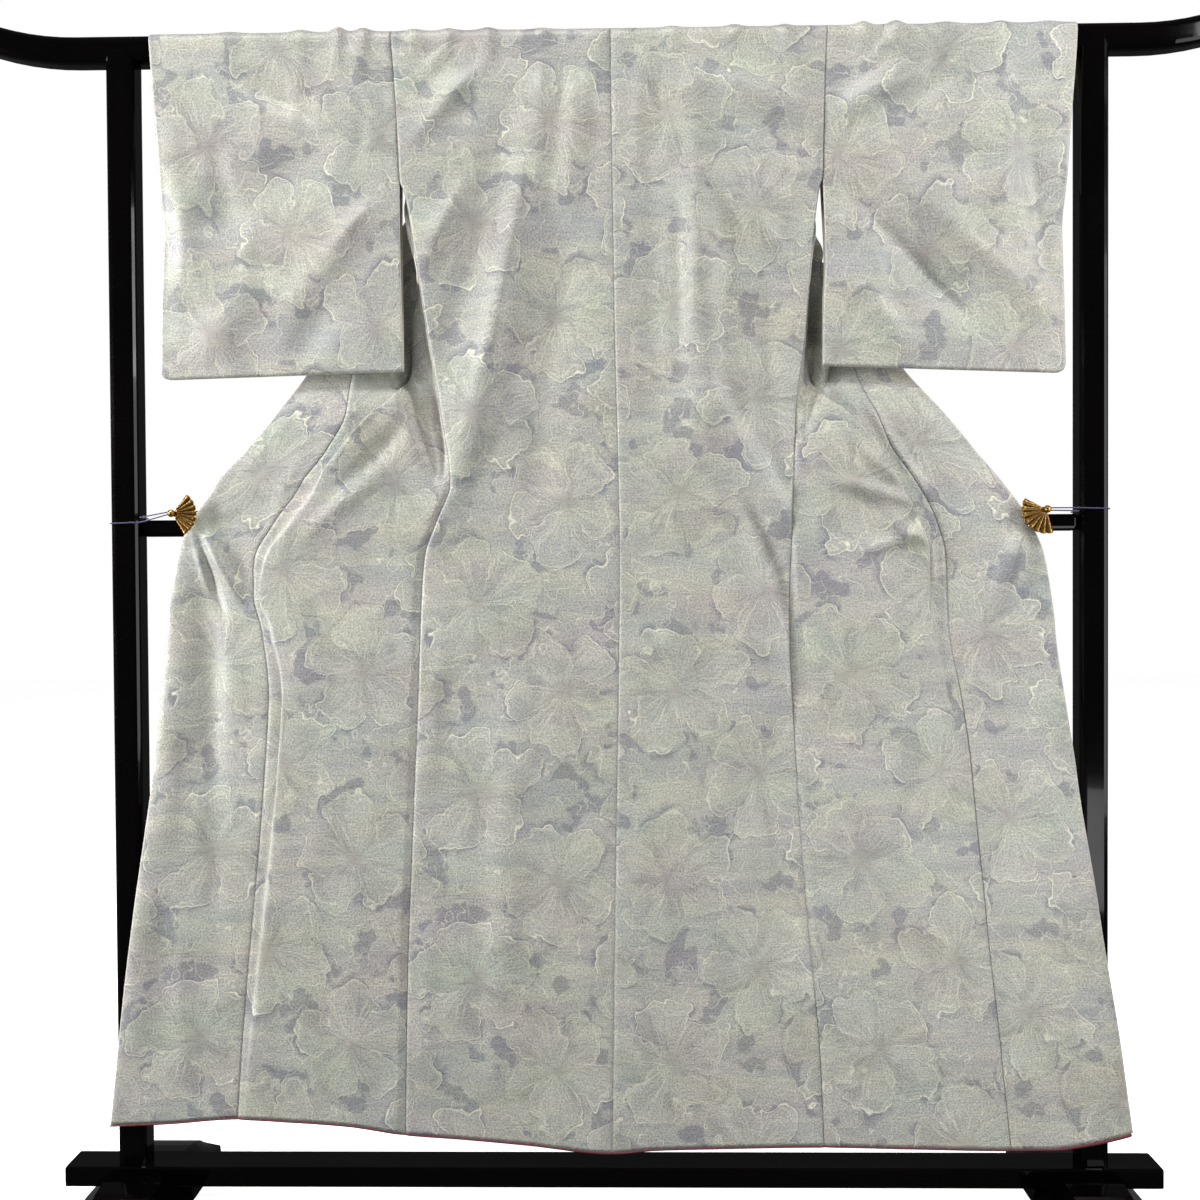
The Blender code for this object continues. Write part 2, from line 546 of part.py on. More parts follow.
# ---------------------------------------------------------------- sleeves
def build_sleeve(name, side, material):
    """A flat bag over the bar. Each column is a closed ring: up the near layer, over the bar, down
    the far layer. The outer ends of the two layers are joined below the cuff."""
    table = SLEEVE[side]
    inner_bottom, outer_bottom = SLEEVE_BOTTOM[side]
    part = np.concatenate((np.linspace(0, 0.93, SLEEVE_COLUMNS - 1), (0.975, 1.0)))[None, :]
    level = np.linspace(0, 1, 5)[:-1, None]
    reach = (1 - part) * abs(column(table, "outer", 1.15) - column(table, "inner", 1.15))
    corner = np.clip(1 - reach / SLEEVE_CORNER, 0, 1)
    bottom = inner_bottom + (outer_bottom - inner_bottom) * part
    bottom = bottom + SLEEVE_CORNER * (1 - np.sqrt(1 - corner ** 2)) * 0.9
    z = np.concatenate((bottom * (1 - level) + SLEEVE_JOIN * level,
                        SEWN_ROWS[:0:-1, None] + 0 * part))

    def layer(depth):
        inner = sewn_edge(side, table, "inner", z) + side * SEAM / 2
        x = inner + part * (column(table, "outer", z) - inner)
        y = column(SLEEVE_DEPTH, depth, z)
        middle = (column(SLEEVE_DEPTH, "near", z) + column(SLEEVE_DEPTH, "far", z)) / 2
        sewn = ease(0.9, 1.0, part) * ease(CUFF_BOTTOM + 0.04, CUFF_BOTTOM - 0.04, z)
        half = abs(y - middle) * (1 - sewn) + 0.0024 * sewn
        y = middle + (half if depth == "far" else -half)
        hang = ease(SHOULDER - 0.03, SHOULDER - 0.08, z) * ease(0.0, 0.10, part) * ease(1.0, 0.9, part)
        hang = hang * ease(bottom, bottom + 0.03, z)
        return x, y - relief(SLEEVE_FOLDS, x, z) * hang

    near_x, near_y = layer("near")
    far_x, far_y = layer("far")
    length = np.linspace(-DRAPE_HALF, DRAPE_HALF, 8)[:, None]
    top_y, top_z = over_bar(length)
    top_inner = column(SLEEVE_SEAM[side], "x", np.full_like(length, 1.62)) + side * SEAM / 2
    top_x = top_inner + part * (column(table, "outer", np.full_like(length, 1.62)) - top_inner)
    x = np.concatenate((near_x, top_x, far_x[::-1]))
    y = np.concatenate((near_y, np.broadcast_to(top_y, top_x.shape), far_y[::-1]))
    z = np.concatenate((z, np.broadcast_to(top_z, top_x.shape), z[::-1]))
    rows, columns = x.shape
    faces = grid_faces(rows, columns, flip=side == RIGHT, closed_rows=True)
    points = np.stack((x, y, z), axis=-1).reshape(-1, 3)
    end = columns - 1
    for r in range(rows // 2 - 1):
        low, high = r * columns + end, (r + 1) * columns + end
        far_low, far_high = (rows - 1 - r) * columns + end, (rows - 2 - r) * columns + end
        if points[high][2] < CUFF_BOTTOM:
            quad = (low, far_low, far_high, high)
            faces.append(quad if side == RIGHT else quad[::-1])
    return solidify(add_mesh(name, points, faces, material), CLOTH)


# ---------------------------------------------------------------- collar
def build_collar(name, material):
    """One band from clip to clip. Round the neck it lies over the bar from the neckline back; down
    each side it lies behind the outer edge of the front, its fold towards the middle."""
    rows = []
    across = np.linspace(0, 1, 8) * COLLAR_WIDTH
    for side in (LEFT, RIGHT):
        run = []
        for z in np.linspace(COLLAR_END - 0.008, 1.575, 20):
            height = np.array([z])
            table = FRONT[side]
            width = column(table, "front", height) + column(table, "overlap", height)
            edge = front_side(side, height) + side * (width - 2 * column(table, "tuck", height))
            line = column(COLLAR_LINE[side], "x", height)
            edge = line + (edge - line) * ease(1.36, 1.32, height)
            lean = math.radians(28) + ease(1.58, 1.44, height) * math.radians(25)
            x = edge - side * (across * np.sin(lean) + 0.002)
            down = height - across * np.cos(lean)
            behind = [collar_depth(side, x, down + near) for near in (-0.012, 0.0, 0.012)]
            y = np.maximum.reduce(behind) + CLOTH + 0.0012 + 0.007 * ease(1.37, 1.42, down)
            run.append(np.stack((x, y, down), axis=-1))
        for length in np.linspace(DRAPE_HALF * 1.15, -0.004, 6):
            x = side * NECK * ease(-0.6 * DRAPE_HALF, DRAPE_HALF, length) - side * 0.0015
            x = x + column(CENTRE_SEAM, "x", 1.62) * ease(0.02, -0.004, length)
            y, z = over_bar(np.maximum(length, -0.004) + 0.0015 + across)
            spread = 0.006 * ease(0.035, 0.085, abs(x)) * ease(0.0, 0.02, y)
            fan = side * across * 0.5 * (x / NECK) ** 2
            run.append(np.stack((x - fan, y + spread, z), axis=-1))
        rows.append(np.array(run))
    points = np.concatenate((rows[0], rows[1][::-1]))
    item = cloth_panel(name, points[..., 0], points[..., 1], points[..., 2], material,
                       flip=False, thickness=COLLAR_WALL)
    item.modifiers["wall"].offset = 1
    return item


# ---------------------------------------------------------------- stand
def box_object(name, low, high, material, bevel=0.0, segments=3):
    """A box between two corners with rounded edges."""
    work = bmesh.new()
    bmesh.ops.create_cube(work, size=1.0)
    low, high = np.array(low), np.array(high)
    bmesh.ops.scale(work, vec=high - low, verts=work.verts)
    bmesh.ops.translate(work, vec=(high + low) / 2, verts=work.verts)
    mesh = bpy.data.meshes.new(name)
    work.to_mesh(mesh)
    work.free()
    mesh.materials.append(material)
    item = bpy.data.objects.new(name, mesh)
    bpy.context.collection.objects.link(item)
    if bevel:
        rounding = item.modifiers.new("rounding", "BEVEL")
        rounding.width = bevel
        rounding.segments = segments
        rounding.limit_method = "ANGLE"
    return item


def rounded_square(half, radius, steps=4):
    """Outline of a square with rounded corners, anticlockwise."""
    outline = []
    for quarter in range(4):
        for step in range(steps + 1):
            angle = math.pi / 2 * (quarter + step / steps)
            corner = math.pi / 2 * (quarter + 0.5)
            outline.append(((half - radius) * math.copysign(1, math.cos(corner)) + radius * math.cos(angle),
                            (half - radius) * math.copysign(1, math.sin(corner)) + radius * math.sin(angle)))
    return outline


def build_top_bar(name, material, grow=0.0, cutter=False):
    """Straight bar whose two ends sweep upward on an arc."""
    stations = []
    for step in range(9, -1, -1):
        turn = BAR_END_SWEEP * step / 9
        stations.append((-BAR_STRAIGHT - BAR_END_RADIUS * math.sin(turn),
                         BAR_HEIGHT + BAR_END_RADIUS * (1 - math.cos(turn)), -turn))
    stations += [(-x, z, -turn) for x, z, turn in reversed(stations)]
    outline = rounded_square(BAR_SIZE / 2 + grow, BAR_ROUND + grow)
    points, faces = [], []
    count = len(outline)
    for x, z, turn in stations:
        for u, v in outline:
            points.append((x - v * math.sin(turn), u, z + v * math.cos(turn)))
    for ring in range(len(stations) - 1):
        for k in range(count):
            a, b = ring * count + k, ring * count + (k + 1) % count
            faces.append((a, b, b + count, a + count))
    faces.append(tuple(range(count)))
    faces.append(tuple(range(len(points) - count, len(points))))
    item = outward(add_mesh(name, points, faces, material, smooth_angle=30))
    if cutter:
        item.hide_render = True
        item.display_type = "WIRE"
    return item


def build_post(name, side, material, bar_cutter):
    """A square post with rounded edges, standing on the beam and coped to the bar above it."""
    half = POST_SIZE / 2
    post = box_object(name, (side * POST_X - half, -half, BEAM_BOTTOM + BEAM_THICK + SEAM),
                      (side * POST_X + half, half, BAR_HEIGHT - 0.001), material)
    work = bmesh.new()
    work.from_mesh(post.data)
    uprights = [e for e in work.edges if abs(e.verts[0].co.z - e.verts[1].co.z) > 0.5]
    bmesh.ops.bevel(work, geom=uprights, offset=0.008, segments=3, affect="EDGES", profile=0.5)
    work.to_mesh(post.data)
    work.free()
    cope = post.modifiers.new("cope", "BOOLEAN")
    cope.operation = "DIFFERENCE"
    cope.object = bar_cutter
    return post


def build_foot(name, side, material):
    """A low board running front to back, bell-shaped in section, notched for the beam."""
    section = []
    for step in range(7):
        t = step / 6
        half = FOOT_TOP / 2 + (FOOT_WIDTH - FOOT_TOP) / 2 * t ** 1.8
        section.append((half, FOOT_HEIGHT * (1 - t) ** 0.85))
    profile = [(-w, h) for w, h in reversed(section)] + section
    stations = np.linspace(-FOOT_LENGTH / 2, FOOT_LENGTH / 2, 13)
    points, faces = [], []
    for y in stations:
        fall = abs(y) / (FOOT_LENGTH / 2)
        low = 1 - 0.80 * max(0.0, (fall - 0.25) / 0.75) ** 2
        slim = 1 - 0.22 * fall ** 4
        for w, h in profile:
            points.append((side * FOOT_X + w * slim, y, h * low))
    count = len(profile)
    for ring in range(len(stations) - 1):
        for k in range(count):
            a, b = ring * count + k, ring * count + (k + 1) % count
            faces.append((a, b, b + count, a + count))
    faces.append(tuple(range(count)))
    faces.append(tuple(range(len(points) - count, len(points))))
    foot = outward(add_mesh(name, points, faces, material, smooth_angle=30))
    half = BEAM_DEPTH / 2 + SEAM
    notch = box_object(name + "_notch", (-1, -half, BEAM_BOTTOM - SEAM), (1, half, 0.2), material)
    notch.hide_render = True
    notch.display_type = "WIRE"
    cut = foot.modifiers.new("notch", "BOOLEAN")
    cut.operation = "DIFFERENCE"
    cut.object = notch
    return foot


def build_stand(lacquer):
    build_top_bar("top_bar", lacquer)
    cutter = build_top_bar("bar_cutter", lacquer, grow=SEAM, cutter=True)
    for word, side in (("left", LEFT), ("right", RIGHT)):
        build_post("post_" + word, side, lacquer, cutter)
        build_foot("foot_" + word, side, lacquer)
    reach = POST_X - POST_SIZE / 2 - SEAM
    half = RAIL_SIZE / 2
    box_object("mid_rail", (-reach, -half, RAIL_HEIGHT - half), (reach, half, RAIL_HEIGHT + half),
               lacquer, bevel=0.006)
    box_object("base_beam", (-BEAM_LENGTH / 2, -BEAM_DEPTH / 2, BEAM_BOTTOM),
               (BEAM_LENGTH / 2, BEAM_DEPTH / 2, BEAM_BOTTOM + BEAM_THICK), lacquer,
               bevel=0.0025, segments=2)


# ---------------------------------------------------------------- clips and their cords
CLIP = {LEFT: {"pivot": (-.5945, .9615), "from": math.radians(-62), "to": math.radians(52)},
        RIGHT: {"pivot": (.5955, .9590), "from": math.radians(152), "to": math.radians(288)}}
STEM_OUT, STEM_HALF = 0.004, 0.003       # the stem that joins the jaws, square
FAN_INNER, FAN_OUTER = 0.0046, 0.0335    # the fan's apex closes round the stem
FAN_RIBS = 8
FAN_FRONT, FAN_THICK, FAN_RIB = -0.0325, 0.0014, 0.0012
JAW_BACK = -0.0140
KNOB_RADIUS = 0.0052


def build_clip(name, side, material):
    """Front jaw: a pleated fan plate, its ribs standing forward, cut from sheet brass."""
    clip = CLIP[side]
    turns = np.linspace(clip["from"], clip["to"], 2 * FAN_RIBS + 1)[None, :]
    radius = np.linspace(FAN_INNER, FAN_OUTER, 5)[:, None]
    x = clip["pivot"][0] + side * STEM_OUT + radius * np.cos(turns)
    z = clip["pivot"][1] + radius * np.sin(turns)
    rib = np.where(np.arange(2 * FAN_RIBS + 1) % 2 == 1, 1.0, 0.0)[None, :]
    y = FAN_FRONT - FAN_RIB * rib * (radius / FAN_OUTER) + 0.0 * x
    return cloth_panel(name, x, y, z, material, flip=True, thickness=FAN_THICK)


def build_jaw(name, side, material):
    """Rear jaw: a plate behind the cloth, bent round beyond its edge to the fan's pivot knob."""
    px, pz = CLIP[side]["pivot"]
    stem_x = px + side * STEM_OUT
    out = stem_x + side * STEM_HALF
    inner = px - side * 0.024
    half = 0.0045
    plate = box_object(name, (min(inner, out), JAW_BACK - 0.0016, pz - half),
                       (max(inner, out), JAW_BACK, pz + half), material)
    stem = box_object(name + "_stem",
                      (stem_x - STEM_HALF, FAN_FRONT - 0.0065, pz - STEM_HALF),
                      (stem_x + STEM_HALF, JAW_BACK - 0.0004, pz + STEM_HALF), material)
    work = bmesh.new()
    bmesh.ops.create_uvsphere(work, u_segments=12, v_segments=8, radius=KNOB_RADIUS)
    bmesh.ops.translate(work, vec=(stem_x, FAN_FRONT - 0.0065, pz), verts=work.verts)
    mesh = bpy.data.meshes.new(name + "_knob")
    work.to_mesh(mesh)
    work.free()
    knob = bpy.data.objects.new(name + "_knob", mesh)
    bpy.context.collection.objects.link(knob)
    for tool in (stem, knob):
        tool.hide_render = True
        tool.display_type = "WIRE"
        join = plate.modifiers.new("join", "BOOLEAN")
        join.operation = "UNION"
        join.object = tool
    return plate


def build_cord(name, side, material):
    """A thin cord from the clip's knob round the post and back, held taut and tied at the knob."""
    px, pz = CLIP[side]["pivot"]
    start = px + side * (STEM_OUT + KNOB_RADIUS + SEAM)
    knob_y = FAN_FRONT - 0.0065
    half = POST_SIZE / 2
    clear = 0.0018
    near, far = -half - clear, half + clear
    inner, outer = side * (POST_X - half - clear), side * (POST_X + half + clear)
    level = pz - 0.012 if side == LEFT else pz + 0.0015
    corner = 0.008
    path = [(start, knob_y + 0.001, pz + side * 0.0017),
            (inner - side * 0.004, near - 0.0012, level + 0.001)]
    back = 0.9575
    for centre_x, centre_y, begin, z in (
            (side * (POST_X + half - corner), -half + corner, -90, level),
            (side * (POST_X + half - corner), half - corner, 0, 0.4 * level + 0.6 * back),
            (side * (POST_X - half + corner), half - corner, 90, back)):
        for step in range(5):
            angle = math.radians(begin + 22.5 * step)
            reach = corner + clear
            path.append((centre_x + side * reach * math.cos(angle),
                         centre_y + reach * math.sin(angle), z))
    path += [(inner + side * bow, y, back)
             for bow, y in ((0, -half + 0.008), (-0.0008, -half + 0.003), (-0.0035, -half - 0.001))]
    path.append((start, knob_y + 0.0012, pz - side * 0.0017))
    points = np.array(path)
    curve = bpy.data.curves.new(name, "CURVE")
    curve.dimensions = "3D"
    curve.bevel_depth = 0.0009
    curve.bevel_resolution = 2
    curve.use_fill_caps = True
    spline = curve.splines.new("POLY")
    spline.points.add(len(points) - 1)
    for target, point in zip(spline.points, points):
        target.co = (*point, 1.0)
    curve.materials.append(material)
    item = bpy.data.objects.new(name, curve)
    bpy.context.collection.objects.link(item)
    return item


# ---------------------------------------------------------------- build
clear_scene()
silk = lacquer_or_cloth("silver_grey_silk", (0.50, 0.50, 0.45), 0.55)
lining = lacquer_or_cloth("wine_red_lining", (0.16, 0.012, 0.03), 0.6)
lacquer = lacquer_or_cloth("black_lacquer", (0.004, 0.004, 0.005), 0.12)
gilt = lacquer_or_cloth("antique_gilt_brass", (0.45, 0.27, 0.08), 0.35, 1.0)
braid = lacquer_or_cloth("dark_violet_cord", (0.02, 0.012, 0.09), 0.7)

for word, side in (("left", LEFT), ("right", RIGHT)):
    build_body("body_" + word, side, silk)
    build_overlap("overlap_" + word, side, silk)
    build_sleeve("sleeve_" + word, side, silk)
    build_clip("clip_" + word, side, gilt)
    build_jaw("jaw_" + word, side, gilt)
    build_cord("clip_cord_" + word, side, braid)
build_collar("collar", silk)
build_hem_edge("hem_edge", lining)
build_stand(lacquer)
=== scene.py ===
"""A silk kimono hung open, back outward, on a black lacquered kimono stand: its finished looks.

Metres, +Z up, the viewer at -Y, the origin on the floor under the middle of the stand. The stand,
the jaws and the cords keep their solid shapes and get their finishes. Every piece of cloth is a
thin shell on its solid's own form, with the smaller creases added.
"""
import functools
import math

import bpy
import numpy as np
from mathutils import Matrix, Vector


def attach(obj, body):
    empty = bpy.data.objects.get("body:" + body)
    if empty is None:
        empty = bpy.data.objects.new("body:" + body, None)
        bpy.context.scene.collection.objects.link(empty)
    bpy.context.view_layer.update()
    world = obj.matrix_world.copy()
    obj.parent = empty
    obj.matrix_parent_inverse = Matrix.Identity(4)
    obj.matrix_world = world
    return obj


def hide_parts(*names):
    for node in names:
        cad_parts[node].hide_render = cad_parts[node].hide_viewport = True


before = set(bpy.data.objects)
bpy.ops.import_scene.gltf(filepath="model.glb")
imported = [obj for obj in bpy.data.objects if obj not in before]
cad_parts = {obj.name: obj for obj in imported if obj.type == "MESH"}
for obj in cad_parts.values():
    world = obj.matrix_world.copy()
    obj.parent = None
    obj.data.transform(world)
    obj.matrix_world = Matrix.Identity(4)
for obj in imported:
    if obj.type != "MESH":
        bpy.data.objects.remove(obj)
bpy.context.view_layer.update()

# ---------------------------------------------------------------- viewpoint
# A standing camera looks straight at the back of the garment from 1.65 m, a little to the right of
# the middle. The ends of the top bar and the feet run out of its frame.
EYE = (0.0178, -1.65, 0.8636)
AIM_LEFT, AIM_DOWN, ROLL = math.radians(0.959), math.radians(0.878), math.radians(-0.350)
FIELD_OF_VIEW = math.radians(54.0)

level = np.array((-math.sin(AIM_LEFT), math.cos(AIM_LEFT), 0.0))
beside = np.array((math.cos(AIM_LEFT), math.sin(AIM_LEFT), 0.0))
upright = np.array((0.0, 0.0, 1.0))
ahead = level * math.cos(AIM_DOWN) - upright * math.sin(AIM_DOWN)
above = upright * math.cos(AIM_DOWN) + level * math.sin(AIM_DOWN)
right_axis = beside * math.cos(ROLL) + above * math.sin(ROLL)
up_axis = above * math.cos(ROLL) - beside * math.sin(ROLL)

lens = bpy.data.cameras.new("viewpoint")
lens.sensor_fit = "HORIZONTAL"
lens.angle = FIELD_OF_VIEW
camera = bpy.data.objects.new("viewpoint", lens)
bpy.context.collection.objects.link(camera)
placed = np.eye(4)
placed[:3, :] = np.stack((right_axis, up_axis, -ahead, EYE), axis=1)
camera.matrix_world = Matrix(placed.tolist())
bpy.context.scene.camera = camera

# ---------------------------------------------------------------- floor and light
# A plain white floor in a white room that gives little light of its own. The lamps do the
# modelling: a key high in front, soft ones for the two sides, the right sleeve and the low right
# corner, thin ones behind for the edges of the lacquer, and one for the inner side.
FLOOR_HALF = 9.0
ROOM_SEEN, ROOM_LIGHT, FLOOR_GLOW = 1.0, 0.10, 0.88
# each lamp's place, the point it is aimed at, its width and height in metres, and its watts
LAMPS = {"key": ((-0.8, -2.0, 4.4), (0.0, 0.0, 0.70), (1.2, 0.9), 120),
         "left": ((-2.10, -0.66, 1.10), (-0.10, 0.0, 0.72), (0.4, 1.3), 56),
         "right": ((1.95, -1.05, 0.95), (0.25, 0.0, 0.60), (0.5, 1.5), 14),
         "sleeve": ((1.35, -0.75, 1.75), (0.50, 0.0, 1.35), (0.3, 0.5), 7.5),
         "low": ((0.85, -1.4, 0.20), (0.35, 0.0, 0.20), (0.8, 0.3), 5.5),
         "side_left": ((-2.9, 1.5, 1.1), (-0.6, 0.0, 1.0), (0.30, 2.2), 22),
         "side_right": ((2.9, 1.5, 1.1), (0.6, 0.0, 1.0), (0.30, 2.2), 22),
         "behind": ((0.7, 2.8, 2.7), (0.0, 0.0, 1.0), (1.6, 1.6), 60)}


def linear(hex_colour):
    """A hex sRGB colour as linear RGBA: a channel is divided by 12.92 up to 0.04045, and above
    that it is ((c + 0.055) / 1.055) to the power 2.4."""
    channels = [int(hex_colour[i:i + 2], 16) / 255 for i in (1, 3, 5)]
    return (*[c / 12.92 if c <= 0.04045 else ((c + 0.055) / 1.055) ** 2.4 for c in channels], 1.0)


def add_node(tree, kind, links=(), **settings):
    """Adds one node and returns its outputs. kind is the node's type, then its operation, or for a
    Mix its data type. links gives its inputs in their order, or by name or number, each as a socket
    to join it to or a value to hold."""
    kind, _, variant = kind.partition(" ")
    node = tree.nodes.new("ShaderNode" + kind)
    if variant:
        setattr(node, "data_type" if kind == "Mix" else "operation", variant)
    for name, value in settings.items():
        setattr(node, name, value)
    named = links if isinstance(links, dict) else dict(enumerate(links))
    for name, source in named.items():
        if isinstance(source, bpy.types.NodeSocket):
            tree.links.new(source, node.inputs[name])
        else:
            node.inputs[name].default_value = source
    return node.outputs


def new_material(name, roughness, **constants):
    """An empty material: itself, its tree and its shader, with the shader's constant values."""
    material = bpy.data.materials.new(name)
    material.use_nodes = True
    shader = material.node_tree.nodes["Principled BSDF"]
    shader.inputs["Roughness"].default_value = roughness
    for socket, value in constants.items():
        shader.inputs[socket.replace("_", " ")].default_value = value
    return material, material.node_tree, shader


paint, tree, shader = new_material("white_matt_floor", 0.75, Emission_Strength=FLOOR_GLOW)
shader.inputs["Emission Color"].default_value = (1.0, 1.0, 1.0, 1.0)
place = add_node(tree, "TexCoord")["Object"]
mottle = add_node(tree, "TexNoise", {"Vector": place, "Scale": 0.8})["Fac"]      # clouds over 1 m
blotch = add_node(tree, "Mix RGBA", {0: mottle, 6: linear("#EFEEEB"), 7: linear("#F6F6F4")})[2]
tree.links.new(blotch, shader.inputs["Base Color"])
floor_mesh = bpy.data.meshes.new("floor")
floor_mesh.from_pydata([(x * FLOOR_HALF, y * FLOOR_HALF, 0) for x, y in
                        ((-1, -1), (1, -1), (1, 1), (-1, 1))], [], [(0, 1, 2, 3)])
floor_mesh.materials.append(paint)
floor = bpy.data.objects.new("floor", floor_mesh)
bpy.context.collection.objects.link(floor)
floor.visible_diffuse = False        # seen, but it throws no light back up
floor.visible_glossy = False

for name, (where, target, (wide, tall), watts) in LAMPS.items():
    lamp = bpy.data.lights.new(name, "AREA")
    lamp.shape, lamp.size, lamp.size_y, lamp.energy = "RECTANGLE", wide, tall, watts
    holder = bpy.data.objects.new(name, lamp)
    bpy.context.collection.objects.link(holder)
    holder.visible_camera = False
    holder.visible_glossy = name != "behind"
    turn = (Vector(target) - Vector(where)).to_track_quat("-Z", "Y").to_matrix().to_4x4()
    holder.matrix_world = Matrix.Translation(where) @ turn

room = bpy.data.worlds.new("white_room")
room.use_nodes = True
tree = room.node_tree
to_the_eye = add_node(tree, "LightPath")["Is Camera Ray"]
seen = add_node(tree, "MapRange", {"Value": to_the_eye, "To Min": ROOM_LIGHT,
                                   "To Max": ROOM_SEEN})["Result"]
tree.links.new(seen, tree.nodes["Background"].inputs["Strength"])
tree.nodes["Background"].inputs["Color"].default_value = (1.0, 1.0, 1.0, 1.0)
bpy.context.scene.world = room
bpy.context.scene.view_settings.view_transform = "Standard"

# ---------------------------------------------------------------- stand
# Cypress bars joined without metal and lacquered black in many polished coats. The solids are the
# finished shapes, so they stay and get the lacquer, which mirrors with a slight waviness.
STAND_NODES = ("top_bar", "post_left", "post_right", "mid_rail", "base_beam", "foot_left",
               "foot_right")

# Urushi lacquer over wood, brushed and polished by hand: near black with a breath of warm brown
# where it is thin, a hard clear gloss, long soft waves from the strokes, fine dust and rubbing.
lacquer, tree, shader = new_material("black_urushi_lacquer", 0.16, Coat_Weight=0.12,
                                     Coat_Roughness=0.03, Specular_IOR_Level=0.10)
place = add_node(tree, "TexCoord")["Object"]
# brush strokes 140 mm long and 17 mm across
stroke = add_node(tree, "Mapping", {"Vector": place, "Scale": (7.0, 60.0, 7.0)})["Vector"]
wave = add_node(tree, "TexNoise", {"Vector": stroke, "Scale": 1.0, "Detail": 2.0})["Fac"]
thin = add_node(tree, "Mix RGBA", {0: wave, 6: linear("#010101"), 7: linear("#050304")})[2]
# dust of 0.2 mm, drawn at 1 mm so that it shows
dust = add_node(tree, "TexNoise", {"Vector": place, "Scale": 900.0, "Detail": 2.0})["Fac"]
speck = add_node(tree, "MapRange", {"Value": dust, "From Min": 0.70, "From Max": 0.80,
                                    "To Min": 0.0, "To Max": 0.18})["Result"]
dusted = add_node(tree, "Mix RGBA", {0: speck, 6: thin, 7: linear("#5A5656")})[2]
tree.links.new(dusted, shader.inputs["Base Color"])
# rubbed patches 90 mm across
rubbed = add_node(tree, "TexNoise", {"Vector": place, "Scale": 11.0, "Detail": 4.0})["Fac"]
gloss = add_node(tree, "MapRange", {"Value": rubbed, "From Min": 0.35, "From Max": 0.75,
                                    "To Min": 0.07, "To Max": 0.15})["Result"]
tree.links.new(gloss, shader.inputs["Roughness"])
swell = add_node(tree, "Bump", {"Height": wave, "Strength": 0.35, "Distance": 0.0008})["Normal"]
tree.links.new(swell, shader.inputs["Normal"])
for name in STAND_NODES:
    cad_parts[name].material_slots[0].material = lacquer

# ---------------------------------------------------------------- body
# Each half is one cloth width of figured silk in one length, from the back hem over the shoulder
# to the front hem, lined. The two are sewn at the centre of the back and each at its own side; the
# fronts fold in accordion pleats behind the back and are drawn out sideways by the clips.
LEFT, RIGHT = -1, 1
SIDES = {"left": LEFT, "right": RIGHT}
SEAM = 0.0001            # gap between two pieces that are sewn
SEAM_DIP, SEAM_DIP_WIDE = 0.0011, 0.003
SHELL = 0.0015           # lined silk
SHOULDER = 1.615         # where the cloth leaves the bar on either side
DRAPE_TOP, DRAPE_ROUND, DRAPE_FLAT = 1.6292, 0.0142, 0.007      # the cloth over the bar
DRAPE_HALF = DRAPE_FLAT + DRAPE_ROUND * math.pi / 2
NECK = 0.090             # half the neck's width
SLEEVE_JOIN = 1.418      # the sleeve is sewn to the body above this height
SIDE_SEAM_TOP = 1.300
PLEAT_ROUND = 0.005
FOOT = 0.09              # height at which each column's place over the hem is read
SPREAD_BELOW = 0.87      # rows below this height are spread to end at the hem
BODY_ROWS, BAR_ROWS = 286, 14
BODY_BANDS, BAND_SPLIT = 12, 6


def chart(names, *rows):
    """A chart of sizes in metres: the names of its columns, and its rows. It is read along its
    first column."""
    return {"columns": names.split(), "rows": np.array(rows)}


CENTRE_SEAM = chart(
    "height x",
    (1.63, .009), (1.40, .011), (1.20, .013), (1.00, .017), (0.90, .018), (0.70, .015),
    (0.40, .009), (0.05, .003))
SLEEVE_SEAM = {
    LEFT: chart(
        "height x",
        (1.63, -.2944), (1.60, -.2925), (1.55, -.2894), (1.50, -.2864), (1.418, -.2830)),
    RIGHT: chart(
        "height x",
        (1.63, .3074), (1.60, .3056), (1.55, .3036), (1.50, .3022), (1.418, .3002))}
BACK_SIDE = {
    LEFT: chart(
        "height x",
        (1.418, -.2830), (1.40, -.276), (1.30, -.260), (1.20, -.2444), (1.10, -.2286),
        (1.00, -.215), (0.95, -.234), (0.90, -.252), (0.85, -.2566), (0.70, -.263), (0.50, -.2725),
        (0.30, -.281), (0.05, -.286)),
    RIGHT: chart(
        "height x",
        (1.418, .3002), (1.40, .295), (1.30, .2834), (1.20, .275), (1.10, .2625), (1.00, .258),
        (0.90, .2544), (0.80, .2535), (0.60, .261), (0.40, .2755), (0.20, .292), (0.05, .298))}
